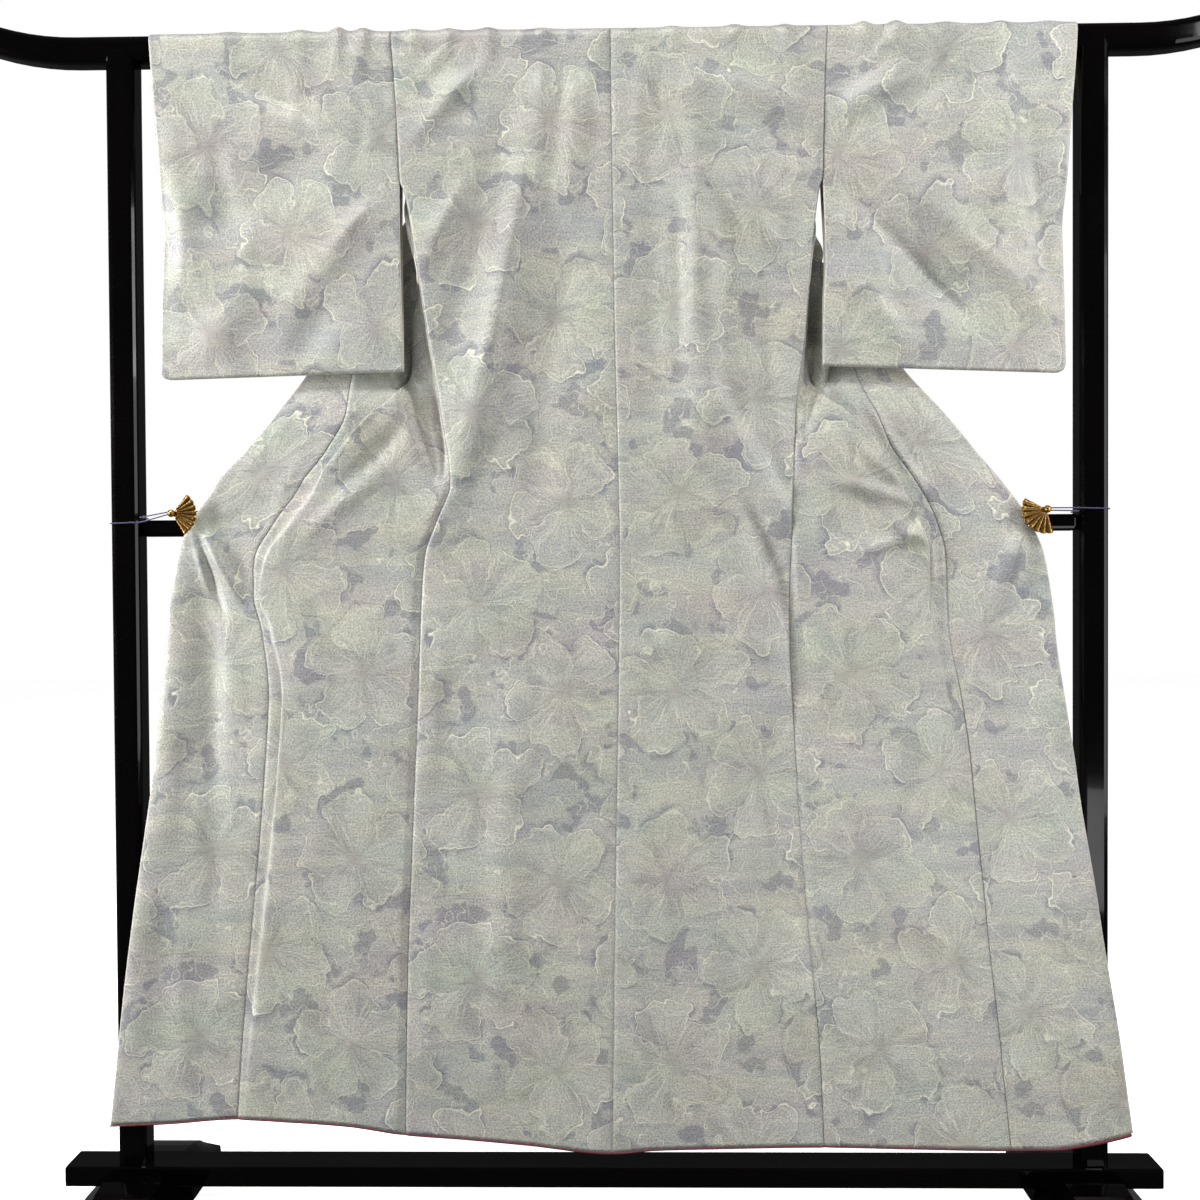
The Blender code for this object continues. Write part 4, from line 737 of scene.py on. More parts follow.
def figured_silk():
    """The silk. Each point belongs to the blossom nearest to it, counted in blossom sizes. In
    polar coordinates about that centre, pushed about by a slow noise, a petal's rim lies at
    (1 - 0.40 |2 f - 1| to the power 2.8) x the petal's own length, f being the place across it from
    0 to 1. Clouds of colour, yarn streaks, specks and the seams' shade lie over it all."""
    material, tree, shader = new_material("silver_grey_figured_silk", 0.46, Sheen_Weight=0.25,
                                          Sheen_Roughness=0.35, Specular_IOR_Level=0.5)
    shader.inputs["Sheen Tint"].default_value = linear("#F2EFE4")
    node = functools.partial(add_node, tree)
    cloth = node("UVMap", uv_map="cloth")[0]

    def noise(scale_u, scale_v, detail):
        """Noise stretched along the cloth: the scales are its features per metre each way."""
        stretched = node("VectorMath MULTIPLY", (cloth, (scale_u, scale_v, 1.0)))[0]
        return node("TexNoise", {"Vector": stretched, "Scale": 1.0, "Detail": detail,
                                 "Roughness": 0.5}, noise_dimensions="2D")

    def line(distance, half_width):
        """1 on a line, falling to 0 half_width away from it."""
        away = node("Math ABSOLUTE", (distance,))[0]
        return node("Math MULTIPLY_ADD", (away, -1 / half_width, 1.0), use_clamp=True)[0]

    # the nearest blossom, as (across, up, turn) in blossom sizes
    wrap = (FIGURE_WIDTH / 2, REPEAT / 2, 1.0)
    nearest, shortest = None, None
    for row in BLOSSOMS:
        plan = dict(zip(BLOSSOM_COLUMNS, row))
        away = node("VectorMath SUBTRACT", (cloth, (plan["u"], plan["v"], 0.0)))[0]
        away = node("VectorMath WRAP", (away, wrap, tuple(-half for half in wrap)))[0]
        away = node("VectorMath MULTIPLY", (away, (1 / plan["size"], 1 / plan["size"], 0.0)))[0]
        length = node("VectorMath LENGTH", (away,))["Value"]
        away = node("VectorMath ADD", (away, (0.0, 0.0, plan["turn"])))[0]
        if nearest is None:
            nearest, shortest = away, length
            continue
        closer = node("Math LESS_THAN", (length, shortest))[0]
        nearest = node("Mix VECTOR", {0: closer, 4: nearest, 5: away})[1]
        shortest = node("Math MINIMUM", (length, shortest))[0]
    heart = node("SeparateXYZ", (nearest,))
    # ruffles: 50 mm and finer, which push the petals' edges up to 10 mm to either side
    wander = noise(20.0, 20.0, 2.0)["Color"]
    ruffle = node("VectorMath MULTIPLY_ADD", (wander, (0.66, 0.66, 0.0), (-0.33, -0.33, 0.0)))[0]
    nearest = node("VectorMath ADD", (nearest, ruffle))[0]
    place = node("SeparateXYZ", (nearest,))
    drift = node("SeparateXYZ", (wander,))
    flat = node("VectorMath MULTIPLY", (nearest, (1.0, 1.0, 0.0)))[0]
    outward = node("VectorMath LENGTH", (flat,))["Value"]

    # petals: counted round the heart, each with a length of its own
    angle = node("Math ARCTAN2", (place["Y"], place["X"]))[0]
    angle = node("Math MULTIPLY_ADD", (angle, PETALS / math.tau, place["Z"]))[0]
    angle = node("Math ADD", (angle, 20.0))[0]
    petal = node("Math FRACT", (angle,))[0]
    across = node("Math MULTIPLY_ADD", (petal, 2.0, -1.0))[0]
    across = node("Math ABSOLUTE", (across,))[0]
    number = node("Math FLOORED_MODULO", (angle, float(PETALS)))[0]
    number = node("Math FLOOR", (number,))[0]
    number = node("Math MULTIPLY_ADD", (place["Z"], 37.0, number))[0]
    chance = node("TexWhiteNoise", {"W": number}, noise_dimensions="1D")["Value"]
    notch = node("Math POWER", (across, 2.8))[0]
    notch = node("Math MULTIPLY_ADD", (notch, -0.40, 1.0))[0]
    rim = node("Math MULTIPLY_ADD", (chance, 0.26, 0.86))[0]
    rim = node("Math MULTIPLY", (notch, rim))[0]
    inside = node("Math SUBTRACT", (rim, outward))[0]
    inside = node("Math MULTIPLY", (inside, BLOSSOM))[0]
    petals = node("Math MULTIPLY_ADD", (inside, 1 / 0.0016, 0.5), use_clamp=True)[0]
    side_away = node("Math SUBTRACT", (1.0, across))[0]
    side_away = node("Math MULTIPLY", (side_away, outward))[0]
    side_away = node("Math MULTIPLY", (side_away, BLOSSOM * math.pi / PETALS))[0]

    # clouds of dye 60-140 mm across, in which each channel wanders by itself, and weft bands 10-40
    # mm deep: between them the ground goes from lilac grey to sage, and the floats come and go
    clouds = noise(7.0, 13.0, 1.0)["Color"]
    cloud = node("SeparateXYZ", (clouds,))
    bands = noise(5.0, 44.0, 2.0)["Fac"]
    bands = node("Math MULTIPLY_ADD", (bands, 3.2, -1.1), use_clamp=True)[0]
    body = node("Mix RGBA", {0: bands, 6: linear("#A4A4A0"), 7: linear("#B2B1A7")})[2]
    # slate patches, beside the petals and here and there on the ground
    slate = node("Math MULTIPLY_ADD", (drift["Z"], 16.0, -8.6), use_clamp=True)[0]
    beside = node("Math MULTIPLY_ADD", (inside, 1 / 0.012, 1.35), use_clamp=True)[0]
    slate = node("Math MULTIPLY", (slate, beside))[0]
    spots = node("Math MULTIPLY_ADD", (drift["Y"], 30.0, -18.2), use_clamp=True)[0]
    slate = node("Math MAXIMUM", (slate, spots))[0]
    slate = node("Math MULTIPLY", (slate, 0.60))[0]
    body = node("Mix RGBA", {0: slate, 6: body, 7: linear("#7A7B82")})[2]
    # a thin shade under each rim
    below = line(node("Math ADD", (inside, 0.0026))[0], 0.0030)
    below = node("Math MULTIPLY", (below, 0.28))[0]
    body = node("Mix RGBA", {0: below, 6: body, 7: linear("#74746F")})[2]
    # the floats of a petal fan out from the heart as fine fibres, pale and dark
    ray = node("Math ARCTAN2", (heart["Y"], heart["X"]))[0]
    ray = node("Math MULTIPLY", (ray, 19.0))[0]
    ray = node("Math MULTIPLY_ADD", (drift["X"], 9.0, ray))[0]
    along = node("Math MULTIPLY", (outward, 1.1))[0]
    fan = node("CombineXYZ", (ray, along, 0.0))[0]
    fibres = node("TexNoise", {"Vector": fan, "Scale": 1.0, "Detail": 1.0, "Roughness": 0.6},
                  noise_dimensions="2D")["Fac"]
    pale = node("Math MULTIPLY", (outward, 0.60))[0]
    pale = node("Math MULTIPLY_ADD", (chance, 0.45, pale), use_clamp=True)[0]
    leaf = node("Mix RGBA", {0: pale, 6: linear("#A2A298"), 7: linear("#BBBBAF")})[2]
    shaded = node("Math MULTIPLY_ADD", (petal, 2.6, -1.6), use_clamp=True)[0]
    shaded = node("Math MULTIPLY", (shaded, 0.55))[0]
    leaf = node("Mix RGBA", {0: shaded, 6: leaf, 7: linear("#82837C")})[2]
    dark = node("Math MULTIPLY_ADD", (fibres, -6.0, 2.8), use_clamp=True)[0]
    dark = node("Math MULTIPLY", (dark, 0.24))[0]
    leaf = node("Mix RGBA", {0: dark, 6: leaf, 7: linear("#7F7F78")})[2]
    covered = node("Math MULTIPLY", (petals, 0.62))[0]
    body = node("Mix RGBA", {0: covered, 6: body, 7: leaf})[2]
    body = node("Mix RGBA", {0: 0.12, 6: body, 7: clouds}, blend_type="SOFT_LIGHT")[2]

    # yarn: slubs are 0.2 mm thick, drawn 1 mm thick and 25 mm long so that they show, and specks
    # 2.4 mm wide where a float crosses
    streaks, grain = noise(40.0, 760.0, 0.0)["Fac"], noise(430.0, 430.0, 0.0)["Fac"]
    yarn = node("Math MULTIPLY", (grain, 0.70))[0]
    yarn = node("Math MULTIPLY_ADD", (streaks, 0.30, yarn))[0]
    bright = node("Math MULTIPLY_ADD", (yarn, 1.10, 0.45))[0]
    body = node("Mix RGBA", {0: 1.0, 6: body, 7: bright}, blend_type="MULTIPLY")[2]
    # floats: the rim, 1.2 mm wide, and its echo 6 mm inside it; the sides of the petals; the
    # palest fibres; and stray lines across the ground
    comes = node("Math MULTIPLY_ADD", (cloud["Z"], 6.0, -2.30), use_clamp=True)[0]
    rim_line = node("Math MULTIPLY", (line(inside, 0.0012), comes))[0]
    echo = node("Math MULTIPLY_ADD", (drift["Z"], 0.030, -0.0210))[0]
    echo = line(node("Math ADD", (inside, echo))[0], 0.0014)
    echo = node("Math MULTIPLY", (echo, 0.45))[0]
    hair = node("Math MULTIPLY_ADD", (fibres, 7.0, -4.0), use_clamp=True)[0]
    fade = node("Math MULTIPLY_ADD", (chance, 0.6, 0.9))[0]
    fade = node("Math MULTIPLY_ADD", (outward, -1.3, fade), use_clamp=True)[0]
    hair = node("Math MULTIPLY", (hair, fade))[0]
    hair = node("Math MULTIPLY", (hair, 0.42))[0]
    far_out = node("Math MULTIPLY_ADD", (outward, 3.4, -0.9), use_clamp=True)[0]
    sides = node("Math MULTIPLY", (line(side_away, 0.0018), far_out))[0]
    sides = node("Math MULTIPLY", (sides, 0.60))[0]
    woven = node("Math MAXIMUM", (hair, sides))[0]
    woven = node("Math MAXIMUM", (woven, echo))[0]
    woven = node("Math MULTIPLY", (woven, petals))[0]
    woven = node("Math MAXIMUM", (woven, rim_line))[0]
    stray = line(node("Math SUBTRACT", (drift["X"], 0.5))[0], 0.010)
    stray = node("Math MULTIPLY", (stray, 0.50))[0]
    ground = node("Math SUBTRACT", (1.0, petals))[0]
    stray = node("Math MULTIPLY", (stray, ground))[0]
    woven = node("Math MAXIMUM", (woven, stray))[0]
    broken = node("Math MULTIPLY_ADD", (grain, 1.2, 0.35), use_clamp=True)[0]
    woven = node("Math MULTIPLY", (woven, broken))[0]
    body = node("Mix RGBA", {0: woven, 6: body, 7: linear("#EAE7D3")})[2]
    # stamens: rose and umber specks within 15 mm of the heart
    stamens = node("Math MULTIPLY_ADD", (outward, -7.0, 1.6), use_clamp=True)[0]
    specks = node("Math MULTIPLY_ADD", (grain, 6.0, -2.9), use_clamp=True)[0]
    stamens = node("Math MULTIPLY", (stamens, specks))[0]
    stamens = node("Math MULTIPLY", (stamens, 0.40))[0]
    body = node("Mix RGBA", {0: stamens, 6: body, 7: linear("#8C7274")})[2]
    # a sewn seam shows as a dark line of painted shade, a free edge as a pale one with some lining
    seam = line(node("Attribute", attribute_name="seam_distance")["Fac"], 0.0014)
    seam = node("Math MULTIPLY", (seam, 0.70))[0]
    # painted shade: the dark line along each sewn seam stands for the shadow in the dip it draws in
    body = node("Mix RGBA", {0: seam, 6: body, 7: linear("#4C4C50")})[2]
    edge = line(node("Attribute", attribute_name="rim_distance")["Fac"], 0.0024)
    edge = node("Math MULTIPLY", (edge, 0.55))[0]
    body = node("Mix RGBA", {0: edge, 6: body, 7: linear("#DDD3CC")})[2]
    tree.links.new(body, shader.inputs["Base Color"])

    matt = node("Math MULTIPLY_ADD", (yarn, 0.22, 0.36))[0]
    tree.links.new(matt, shader.inputs["Roughness"])
    # the cloth is never quite flat: soft puckers 30-60 mm wide and half a millimetre deep
    puckers = noise(20.0, 12.0, 0.0)["Fac"]
    puckers = node("Math MULTIPLY_ADD", (yarn, 0.11, puckers))[0]
    bump = node("Bump", {"Height": puckers, "Strength": 0.6, "Distance": 0.0040})
    tree.links.new(bump[0], shader.inputs["Normal"])
    return material


def plain_lining():
    """The lining: thin plain-woven silk, wine red in the skirt and ivory above it, where the two
    are joined by a seam at LINING_SEAM."""
    material, tree, shader = new_material("wine_and_ivory_silk_lining", 0.5, Sheen_Weight=0.25,
                                          Sheen_Roughness=0.35)
    node = functools.partial(add_node, tree)
    cloth = node("UVMap", uv_map="cloth")[0]
    place = node("TexCoord")["Object"]
    height = node("SeparateXYZ", (place,))["Z"]
    upper = node("MapRange", {"Value": height, "From Min": LINING_SEAM - 0.0005,
                              "From Max": LINING_SEAM + 0.0005})["Result"]
    # plain weave of 0.15 mm yarn, drawn at 0.9 mm so that it shows
    threads = node("Mapping", {"Vector": cloth, "Scale": (140.0, 1100.0, 1.0)})[0]
    weave = node("TexNoise", {"Vector": threads, "Scale": 1.0, "Detail": 1.0})["Fac"]
    red = node("Mix RGBA", {0: weave, 6: linear("#4C0F1E"), 7: linear("#6E1B2D")})[2]
    ivory = node("Mix RGBA", {0: weave, 6: linear("#C9C2B2"), 7: linear("#DDD7C9")})[2]
    both = node("Mix RGBA", {0: upper, 6: red, 7: ivory})[2]
    tree.links.new(both, shader.inputs["Base Color"])
    bump = node("Bump", {"Height": weave, "Strength": 0.3, "Distance": 0.0003})["Normal"]
    tree.links.new(bump, shader.inputs["Normal"])
    return material


silk = figured_silk()
lining_silk = plain_lining()
# where each half was cut from the figured cloth, so the figure doesn't match at the seams
BODY_CUT = {LEFT: (0.0, 0.0), RIGHT: (0.205, 0.118)}
for word, side in SIDES.items():
    x, y, z, u, v, seam = (np.concatenate(parts) for parts in
                           zip(back_rows(side), shoulder_rows(side), front_rows(side)))
    cut_u, cut_v = BODY_CUT[side]
    cloth_shell("silk_body_" + word, (x, y, z), (u + cut_u, v + cut_v),
                               {"seam_distance": seam, "rim_distance": np.full_like(x, 1.0)},
                               (silk, lining_silk), flip=side == RIGHT, rim=1)
    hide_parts("body_" + word)

# ---------------------------------------------------------------- overlap panels
# Half-width gussets of the same lined silk, sewn to the front edge of each half from the collar
# down to the hem. The clips hold their outer edges, which roll softly outward below the gathers.
OVERLAP_TOP, OVERLAP_ROWS, OVERLAP_COLUMNS = 1.318, 236, 42
OVERLAP_CUT = {LEFT: (0.11, 0.08), RIGHT: (0.11, 0.18)}


def overlap_grid(side):
    """Columns from the overlap's seam to its outer edge, closer together near both, and rows from
    its tip to the hem."""
    turn = np.linspace(0, 1, OVERLAP_COLUMNS)[None, :]
    part = 0.6 * turn + 0.4 * (0.5 - 0.5 * np.cos(math.pi * turn))

    def widths(z):
        """Cloth widths of the columns, measured from the side seam."""
        seam = column(FRONT[side], "front", z)
        return seam + SEAM / 2 + part * (column(FRONT[side], "overlap", z) - SEAM / 2)

    foot = 0 * part + FOOT
    foot_x, _ = front_surface(side, widths(foot), foot)
    height = np.linspace(OVERLAP_TOP, 0, OVERLAP_ROWS)[:, None]
    z = drop_to_hem(height + 0 * part, hem_height(foot_x))
    s = widths(z)
    x, y = front_surface(side, s, z)
    return x, y, z, s, s - s[:, :1], s[:, -1:] - s


for word, side in SIDES.items():
    x, y, z, s, from_seam, from_edge = overlap_grid(side)
    y = y + 0.0012 * np.exp(-(from_edge / 0.004) ** 2) * ease(0.0, 0.02, from_seam)
    cut_u, cut_v = OVERLAP_CUT[side]
    cloth_shell("silk_overlap_" + word, (x, y, z), (side * s + cut_u, z + cut_v),
                                 {"seam_distance": from_seam + 1e-9, "rim_distance": from_edge},
                                 (silk, lining_silk), flip=side == LEFT)
    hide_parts("overlap_" + word)

# ---------------------------------------------------------------- sleeves
# Each sleeve is one cloth width folded over the bar into a flat bag, sewn to the body from the
# shoulder down to the joint, open at the cuff above and sewn shut below it and along its bottom.
CUFF_BOTTOM, SLEEVE_CORNER = 1.385, 0.013
SLEEVE_CUT = {LEFT: (0.075, 0.15), RIGHT: (-0.105, 0.05)}
SLEEVE_COLUMNS, SLEEVE_LOW_ROWS, SLEEVE_TOP_ROWS = 84, 58, 40
SLEEVE = {
    LEFT: chart(
        "height inner outer",
        (1.63, -.2944, -.630), (1.60, -.2925, -.628), (1.50, -.2864, -.6214),
        (1.418, -.2830, -.6165), (1.35, -.2831, -.6147), (1.25, -.2816, -.6188),
        (1.14, -.2806, -.6205)),
    RIGHT: chart(
        "height inner outer",
        (1.63, .3074, .6475), (1.60, .3056, .6465), (1.50, .3022, .6393), (1.418, .3002, .634),
        (1.40, .3007, .6329), (1.35, .3027, .6300), (1.30, .3038, .6308), (1.25, .3013, .6322),
        (1.14, .2997, .6340))}
SLEEVE_BOTTOM = {LEFT: (1.158, 1.149), RIGHT: (1.161, 1.148)}      # at the inner and outer edge
SLEEVE_DEPTH = chart(
    "height near far",
    (1.615, -.0212, .0212), (1.558, -.0215, .0189), (1.508, -.021, .0138), (1.438, -.020, .0076),
    (1.418, -.0198, .0059), (1.30, -.018, -.001), (1.20, -.0165, -.0055), (1.14, -.0155, -.0085))
SLEEVE_FOLDS = (
    (-.570, 1.605, -.350, 1.470, -.012, .024, -.0100),
    (-.300, 1.395, -.450, 1.230, .006, .024, .0080),
    (-.335, 1.500, -.580, 1.330, .004, .034, -.0075),
    (-.370, 1.260, -.440, 1.165, .000, .022, -.0060),
    (-.480, 1.290, -.575, 1.165, .000, .026, .0060),
    (-.600, 1.480, -.560, 1.250, .004, .022, .0050),
    (.300, 1.490, .480, 1.618, .006, .020, .0140),
    (.300, 1.440, .560, 1.185, .004, .022, -.0160),
    (.345, 1.480, .630, 1.220, .006, .022, .0150),
    (.310, 1.320, .430, 1.165, .000, .020, .0115),
    (.650, 1.600, .540, 1.530, .000, .022, -.0080),
    (.500, 1.590, .375, 1.500, -.006, .018, -.0070),
    (.590, 1.500, .610, 1.260, .004, .018, -.0080))
NEAR_CREASES = (
    (-.367, 1.618, -.327, 1.556, .000, .008, .0040),
    (-.462, 1.540, -.390, 1.500, -.003, .008, -.0028),
    (-.316, 1.392, -.382, 1.318, .003, .009, .0050),
    (-.594, 1.590, -.600, 1.260, .004, .016, .0024),
    (-.330, 1.540, -.345, 1.430, .000, .010, -.0024),
    (-.480, 1.420, -.500, 1.250, .004, .014, .0024),
    (-.545, 1.500, -.520, 1.330, -.004, .014, -.0040),
    (-.420, 1.600, -.432, 1.470, .002, .011, .0020),
    (.400, 1.618, .357, 1.562, .000, .008, .0040),
    (.493, 1.590, .436, 1.552, .002, .009, -.0050),
    (.405, 1.325, .529, 1.203, .002, .010, -.0060),
    (.560, 1.540, .540, 1.330, .003, .014, .0042),
    (.470, 1.450, .450, 1.300, -.004, .014, .0024),
    (.350, 1.400, .392, 1.240, .004, .012, .0050),
    (.600, 1.420, .612, 1.230, .000, .014, -.0024),
    (.545, 1.610, .552, 1.500, .002, .012, .0024))
FAR_CREASES = (
    (-.550, 1.590, -.470, 1.480, -.006, .014, .0022),
    (-.330, 1.560, -.400, 1.420, .004, .014, .0018),
    (-.590, 1.420, -.575, 1.230, .000, .015, .0014),
    (-.460, 1.330, -.500, 1.200, .003, .012, .0016),
    (-.360, 1.300, -.340, 1.190, .000, .012, .0012),
    (.370, 1.590, .430, 1.470, .004, .014, .0020),
    (.600, 1.560, .560, 1.430, -.004, .014, .0018),
    (.350, 1.420, .420, 1.270, .004, .016, .0018),
    (.520, 1.360, .560, 1.210, .000, .013, .0014),
    (.450, 1.260, .440, 1.180, .000, .011, .0012))


def sleeve_grid(side):
    """Each column is a closed ring: up the near layer, over the bar, down the far layer. The two
    layers come together at the outer edge below the cuff, and the bottom corner is rounded."""
    table = SLEEVE[side]
    inner_bottom, outer_bottom = SLEEVE_BOTTOM[side]
    turn = np.linspace(0, 1, SLEEVE_COLUMNS)[None, :]
    part = 0.75 * turn + 0.25 * (0.5 - 0.5 * np.cos(math.pi * turn))
    rise = np.linspace(0, 1, SLEEVE_LOW_ROWS)[:-1, None]
    span = abs(column(table, "outer", 1.15) - column(table, "inner", 1.15))
    corner = np.clip(1 - (1 - part) * span / SLEEVE_CORNER, 0, 1)
    bottom = inner_bottom + (outer_bottom - inner_bottom) * part
    bottom = bottom + SLEEVE_CORNER * (1 - np.sqrt(1 - corner ** 2)) * 0.9
    top = np.linspace(SLEEVE_JOIN, SHOULDER, SLEEVE_TOP_ROWS)[:-1, None]
    z = np.concatenate((bottom * (1 - rise) + SLEEVE_JOIN * rise, top + 0 * part))

    def layer(depth, creases):
        """x and y of one layer: it hangs at its depth from the bar, less its folds."""
        inner = sewn_edge(side, table, "inner", z) + side * SEAM / 2
        x = inner + part * (column(table, "outer", z) - inner)
        y = column(SLEEVE_DEPTH, depth, z)
        middle = (column(SLEEVE_DEPTH, "near", z) + column(SLEEVE_DEPTH, "far", z)) / 2
        sewn = ease(0.9, 1.0, part) * ease(CUFF_BOTTOM + 0.04, CUFF_BOTTOM - 0.04, z)
        half = abs(y - middle) * (1 - sewn) + 0.0024 * sewn
        outward = 1 if depth == "far" else -1
        hang = ease(SHOULDER - 0.03, SHOULDER - 0.08, z) * ease(0.0, 0.10, part)
        hang = hang * ease(1.0, 0.9, part) * ease(bottom, bottom + 0.03, z)
        edge = ease(0.0, 0.03, part) * ease(1.0, 0.96, part) * ease(bottom, bottom + 0.02, z)
        y = middle + half * outward - relief(SLEEVE_FOLDS, x, z) * hang
        y = y + outward * relief(creases, x, z) * edge * ease(SHOULDER + .002, SHOULDER - .02, z)
        y = y + outward * near_bar(x, z)
        return x, y - outward * seam_pull(part * span) * (z >= SLEEVE_JOIN)

    near_x, near_y = layer("near", NEAR_CREASES)
    far_x, far_y = layer("far", FAR_CREASES)
    length = np.linspace(-DRAPE_HALF, DRAPE_HALF, BAR_ROWS)[:, None]
    level_top = np.full_like(length, 1.62)
    top_inner = column(SLEEVE_SEAM[side], "x", level_top) + side * SEAM / 2
    top_x = top_inner + part * (column(table, "outer", level_top) - top_inner)
    top_y, top_z = rippled_bar(length, top_x)
    x = np.concatenate((near_x, top_x, far_x[::-1]))
    y = np.concatenate((near_y, top_y, far_y[::-1]))
    tall = np.concatenate((z, top_z, z[::-1]))
    v = np.concatenate((z, SHOULDER + DRAPE_HALF + length + 0 * top_x,
                        2 * (SHOULDER + DRAPE_HALF) - z[::-1]))
    u = part * span + 0 * x
    joined = (tall >= SLEEVE_JOIN) * 1.0
    seam = np.where(joined > 0, u, 1.0)
    rim = np.minimum(np.where(joined > 0, 1.0, u), span - u)
    return x, y, tall, u, v, seam, rim


for word, side in SIDES.items():
    x, y, z, u, v, seam, rim = sleeve_grid(side)
    # below the cuff the two layers are sewn together: a strip of faces joins their outer edges
    rows, columns = x.shape
    half_rows = np.arange(rows // 2 - 1)
    end = half_rows[z[half_rows + 1, -1] < CUFF_BOTTOM]
    near_low, far_low = ((row + 1) * columns - 1 for row in (end, rows - 1 - end))
    sewn = np.stack((near_low, far_low, far_low - columns, near_low + columns), axis=-1)
    cut_u, cut_v = SLEEVE_CUT[side]
    cloth_shell("silk_sleeve_" + word, (x, y, z), (side * u + cut_u, v + cut_v),
                                {"seam_distance": seam, "rim_distance": rim},
                                (silk, lining_silk), flip=side == RIGHT, ring=True,
                                extra=sewn if side == RIGHT else sewn[:, ::-1])
    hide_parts("sleeve_" + word)

# ---------------------------------------------------------------- collar
# One long band of the same silk folded double, sewn round the neckline and down both front edges
# to the clips. It lies behind the fronts, so it shows from the inner side.
COLLAR_WIDTH, COLLAR_WALL, COLLAR_END = 0.055, 0.0024, 0.966
COLLAR_ACROSS, COLLAR_DOWN, COLLAR_OVER = 14, 110, 16
COLLAR_LEAN, COLLAR_LEAN_LOW = math.radians(28), math.radians(25)      # low down, both together
COLLAR_LAP, COLLAR_SMOOTH = 0.014, 9
COLLAR_LINE = {
    LEFT: chart(
        "height x",
        (1.60, -.093), (1.558, -.127), (1.508, -.165), (1.438, -.216), (1.378, -.262),
        (1.338, -.290), (1.30, -.315)),
    RIGHT: chart(
        "height x",
        (1.60, .093), (1.558, .122), (1.508, .152), (1.438, .202), (1.378, .250), (1.338, .282),
        (1.30, .310))}


def collar_depth(side, x, z):
    """Where the collar lies: behind the outward run of the front, at the same height."""
    s = side * (x - front_side(side, z)) + 2 * column(FRONT[side], "tuck", z)
    folds = relief(OUTER_FOLDS, x, z) + relief(OUTER_CREASES, x, z)
    return outward_run(side, s, z) - folds * facing(z) + channel(side, x, z)


def smooth_over(height, reach):
    """The highest value within reach rows, averaged over as many rows again, so that the result
    runs smoothly and is nowhere lower."""
    ends = ((reach, reach), (0, 0))
    window = np.lib.stride_tricks.sliding_window_view
    highest = window(np.pad(height, ends, mode="edge"), 2 * reach + 1, axis=0).max(axis=-1)
    return window(np.pad(highest, ends, mode="edge"), 2 * reach + 1, axis=0).mean(axis=-1)


def collar_half(side):
    """Rows from the clip up to the neck and over the bar to the centre of the back; columns from
    the sewn edge, which leans in, to the fold."""
    across = np.linspace(0, 1, COLLAR_ACROSS)[None, :] * COLLAR_WIDTH
    z = np.linspace(COLLAR_END - 0.008, 1.575, COLLAR_DOWN)[:, None]
    table = FRONT[side]
    width = column(table, "front", z) + column(table, "overlap", z)
    edge = front_side(side, z) + side * (width - 2 * column(table, "tuck", z))
    line = column(COLLAR_LINE[side], "x", z)
    edge = line + (edge - line) * ease(1.36, 1.32, z)
    lean = COLLAR_LEAN + ease(1.58, 1.44, z) * COLLAR_LEAN_LOW
    # near the bar its sewn edge laps up to 14 mm over the neckline
    lap = side * COLLAR_LAP * (1 - across / COLLAR_WIDTH)
    x = edge - side * (across * np.sin(lean) + 0.002) + lap * ease(1.53, 1.575, z)
    down = z - across * np.cos(lean)
    behind = np.maximum.reduce([collar_depth(side, x, down + near)
                                for near in (-0.012, -0.006, 0.0, 0.006, 0.012)])
    behind = behind + (smooth_over(behind, COLLAR_SMOOTH) - behind) * ease(1.13, 1.20, down)
    y = behind + SHELL + 0.0012 + 0.007 * ease(1.37, 1.42, down)
    hanging = np.stack((x, y, down))
    length = np.linspace(DRAPE_HALF * 1.15, -0.004, COLLAR_OVER)[:, None]
    over_x = side * NECK * ease(-0.6 * DRAPE_HALF, DRAPE_HALF, length) - side * 0.0015
    over_x = over_x + lap * ease(0.2 * DRAPE_HALF, 0.9 * DRAPE_HALF, length)
    over_x = over_x + column(CENTRE_SEAM, "x", 1.62) * ease(0.02, -0.004, length)
    over_y, over_z = over_bar(np.maximum(length, -0.004) + 0.0015 + across)
    spread = 0.006 * ease(0.035, 0.085, abs(over_x)) * ease(0.0, 0.02, over_y)
    fan = side * across * 0.5 * (over_x / NECK) ** 2
    over = np.stack((over_x - fan, over_y + spread, over_z))
    return np.concatenate((hanging, over), axis=1)


place = np.concatenate((collar_half(LEFT), collar_half(RIGHT)[:, ::-1]), axis=1)
steps = np.linalg.norm(np.diff(place[:, :, 0], axis=1), axis=0)
along = np.concatenate(((0.0,), np.cumsum(steps)))[:, None]
across = np.linspace(0, COLLAR_WIDTH, COLLAR_ACROSS)[None, :] + 0 * along
collar = cloth_shell("silk_collar", place, (across + 0.15, along),
                     {"seam_distance": across + 1e-9, "rim_distance": COLLAR_WIDTH - across},
                     (silk,), flip=False, wall=COLLAR_WALL, offset=1)
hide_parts("collar")

# ---------------------------------------------------------------- hem edge
# The skirt lining is turned out under the hem and sewn as a thin roll, so a line of wine red shows
# below the silk all the way round, deepest at the right corner.
HEM_ROLL, HEM_HALF_THICK, HEM_SIDES = 0.0030, 0.0022, 10
HEM_FLAT, HEM_SET = 0.72, 0.47       # how much of its thickness is left, and how high it is set
HEM_STEP = 0.003


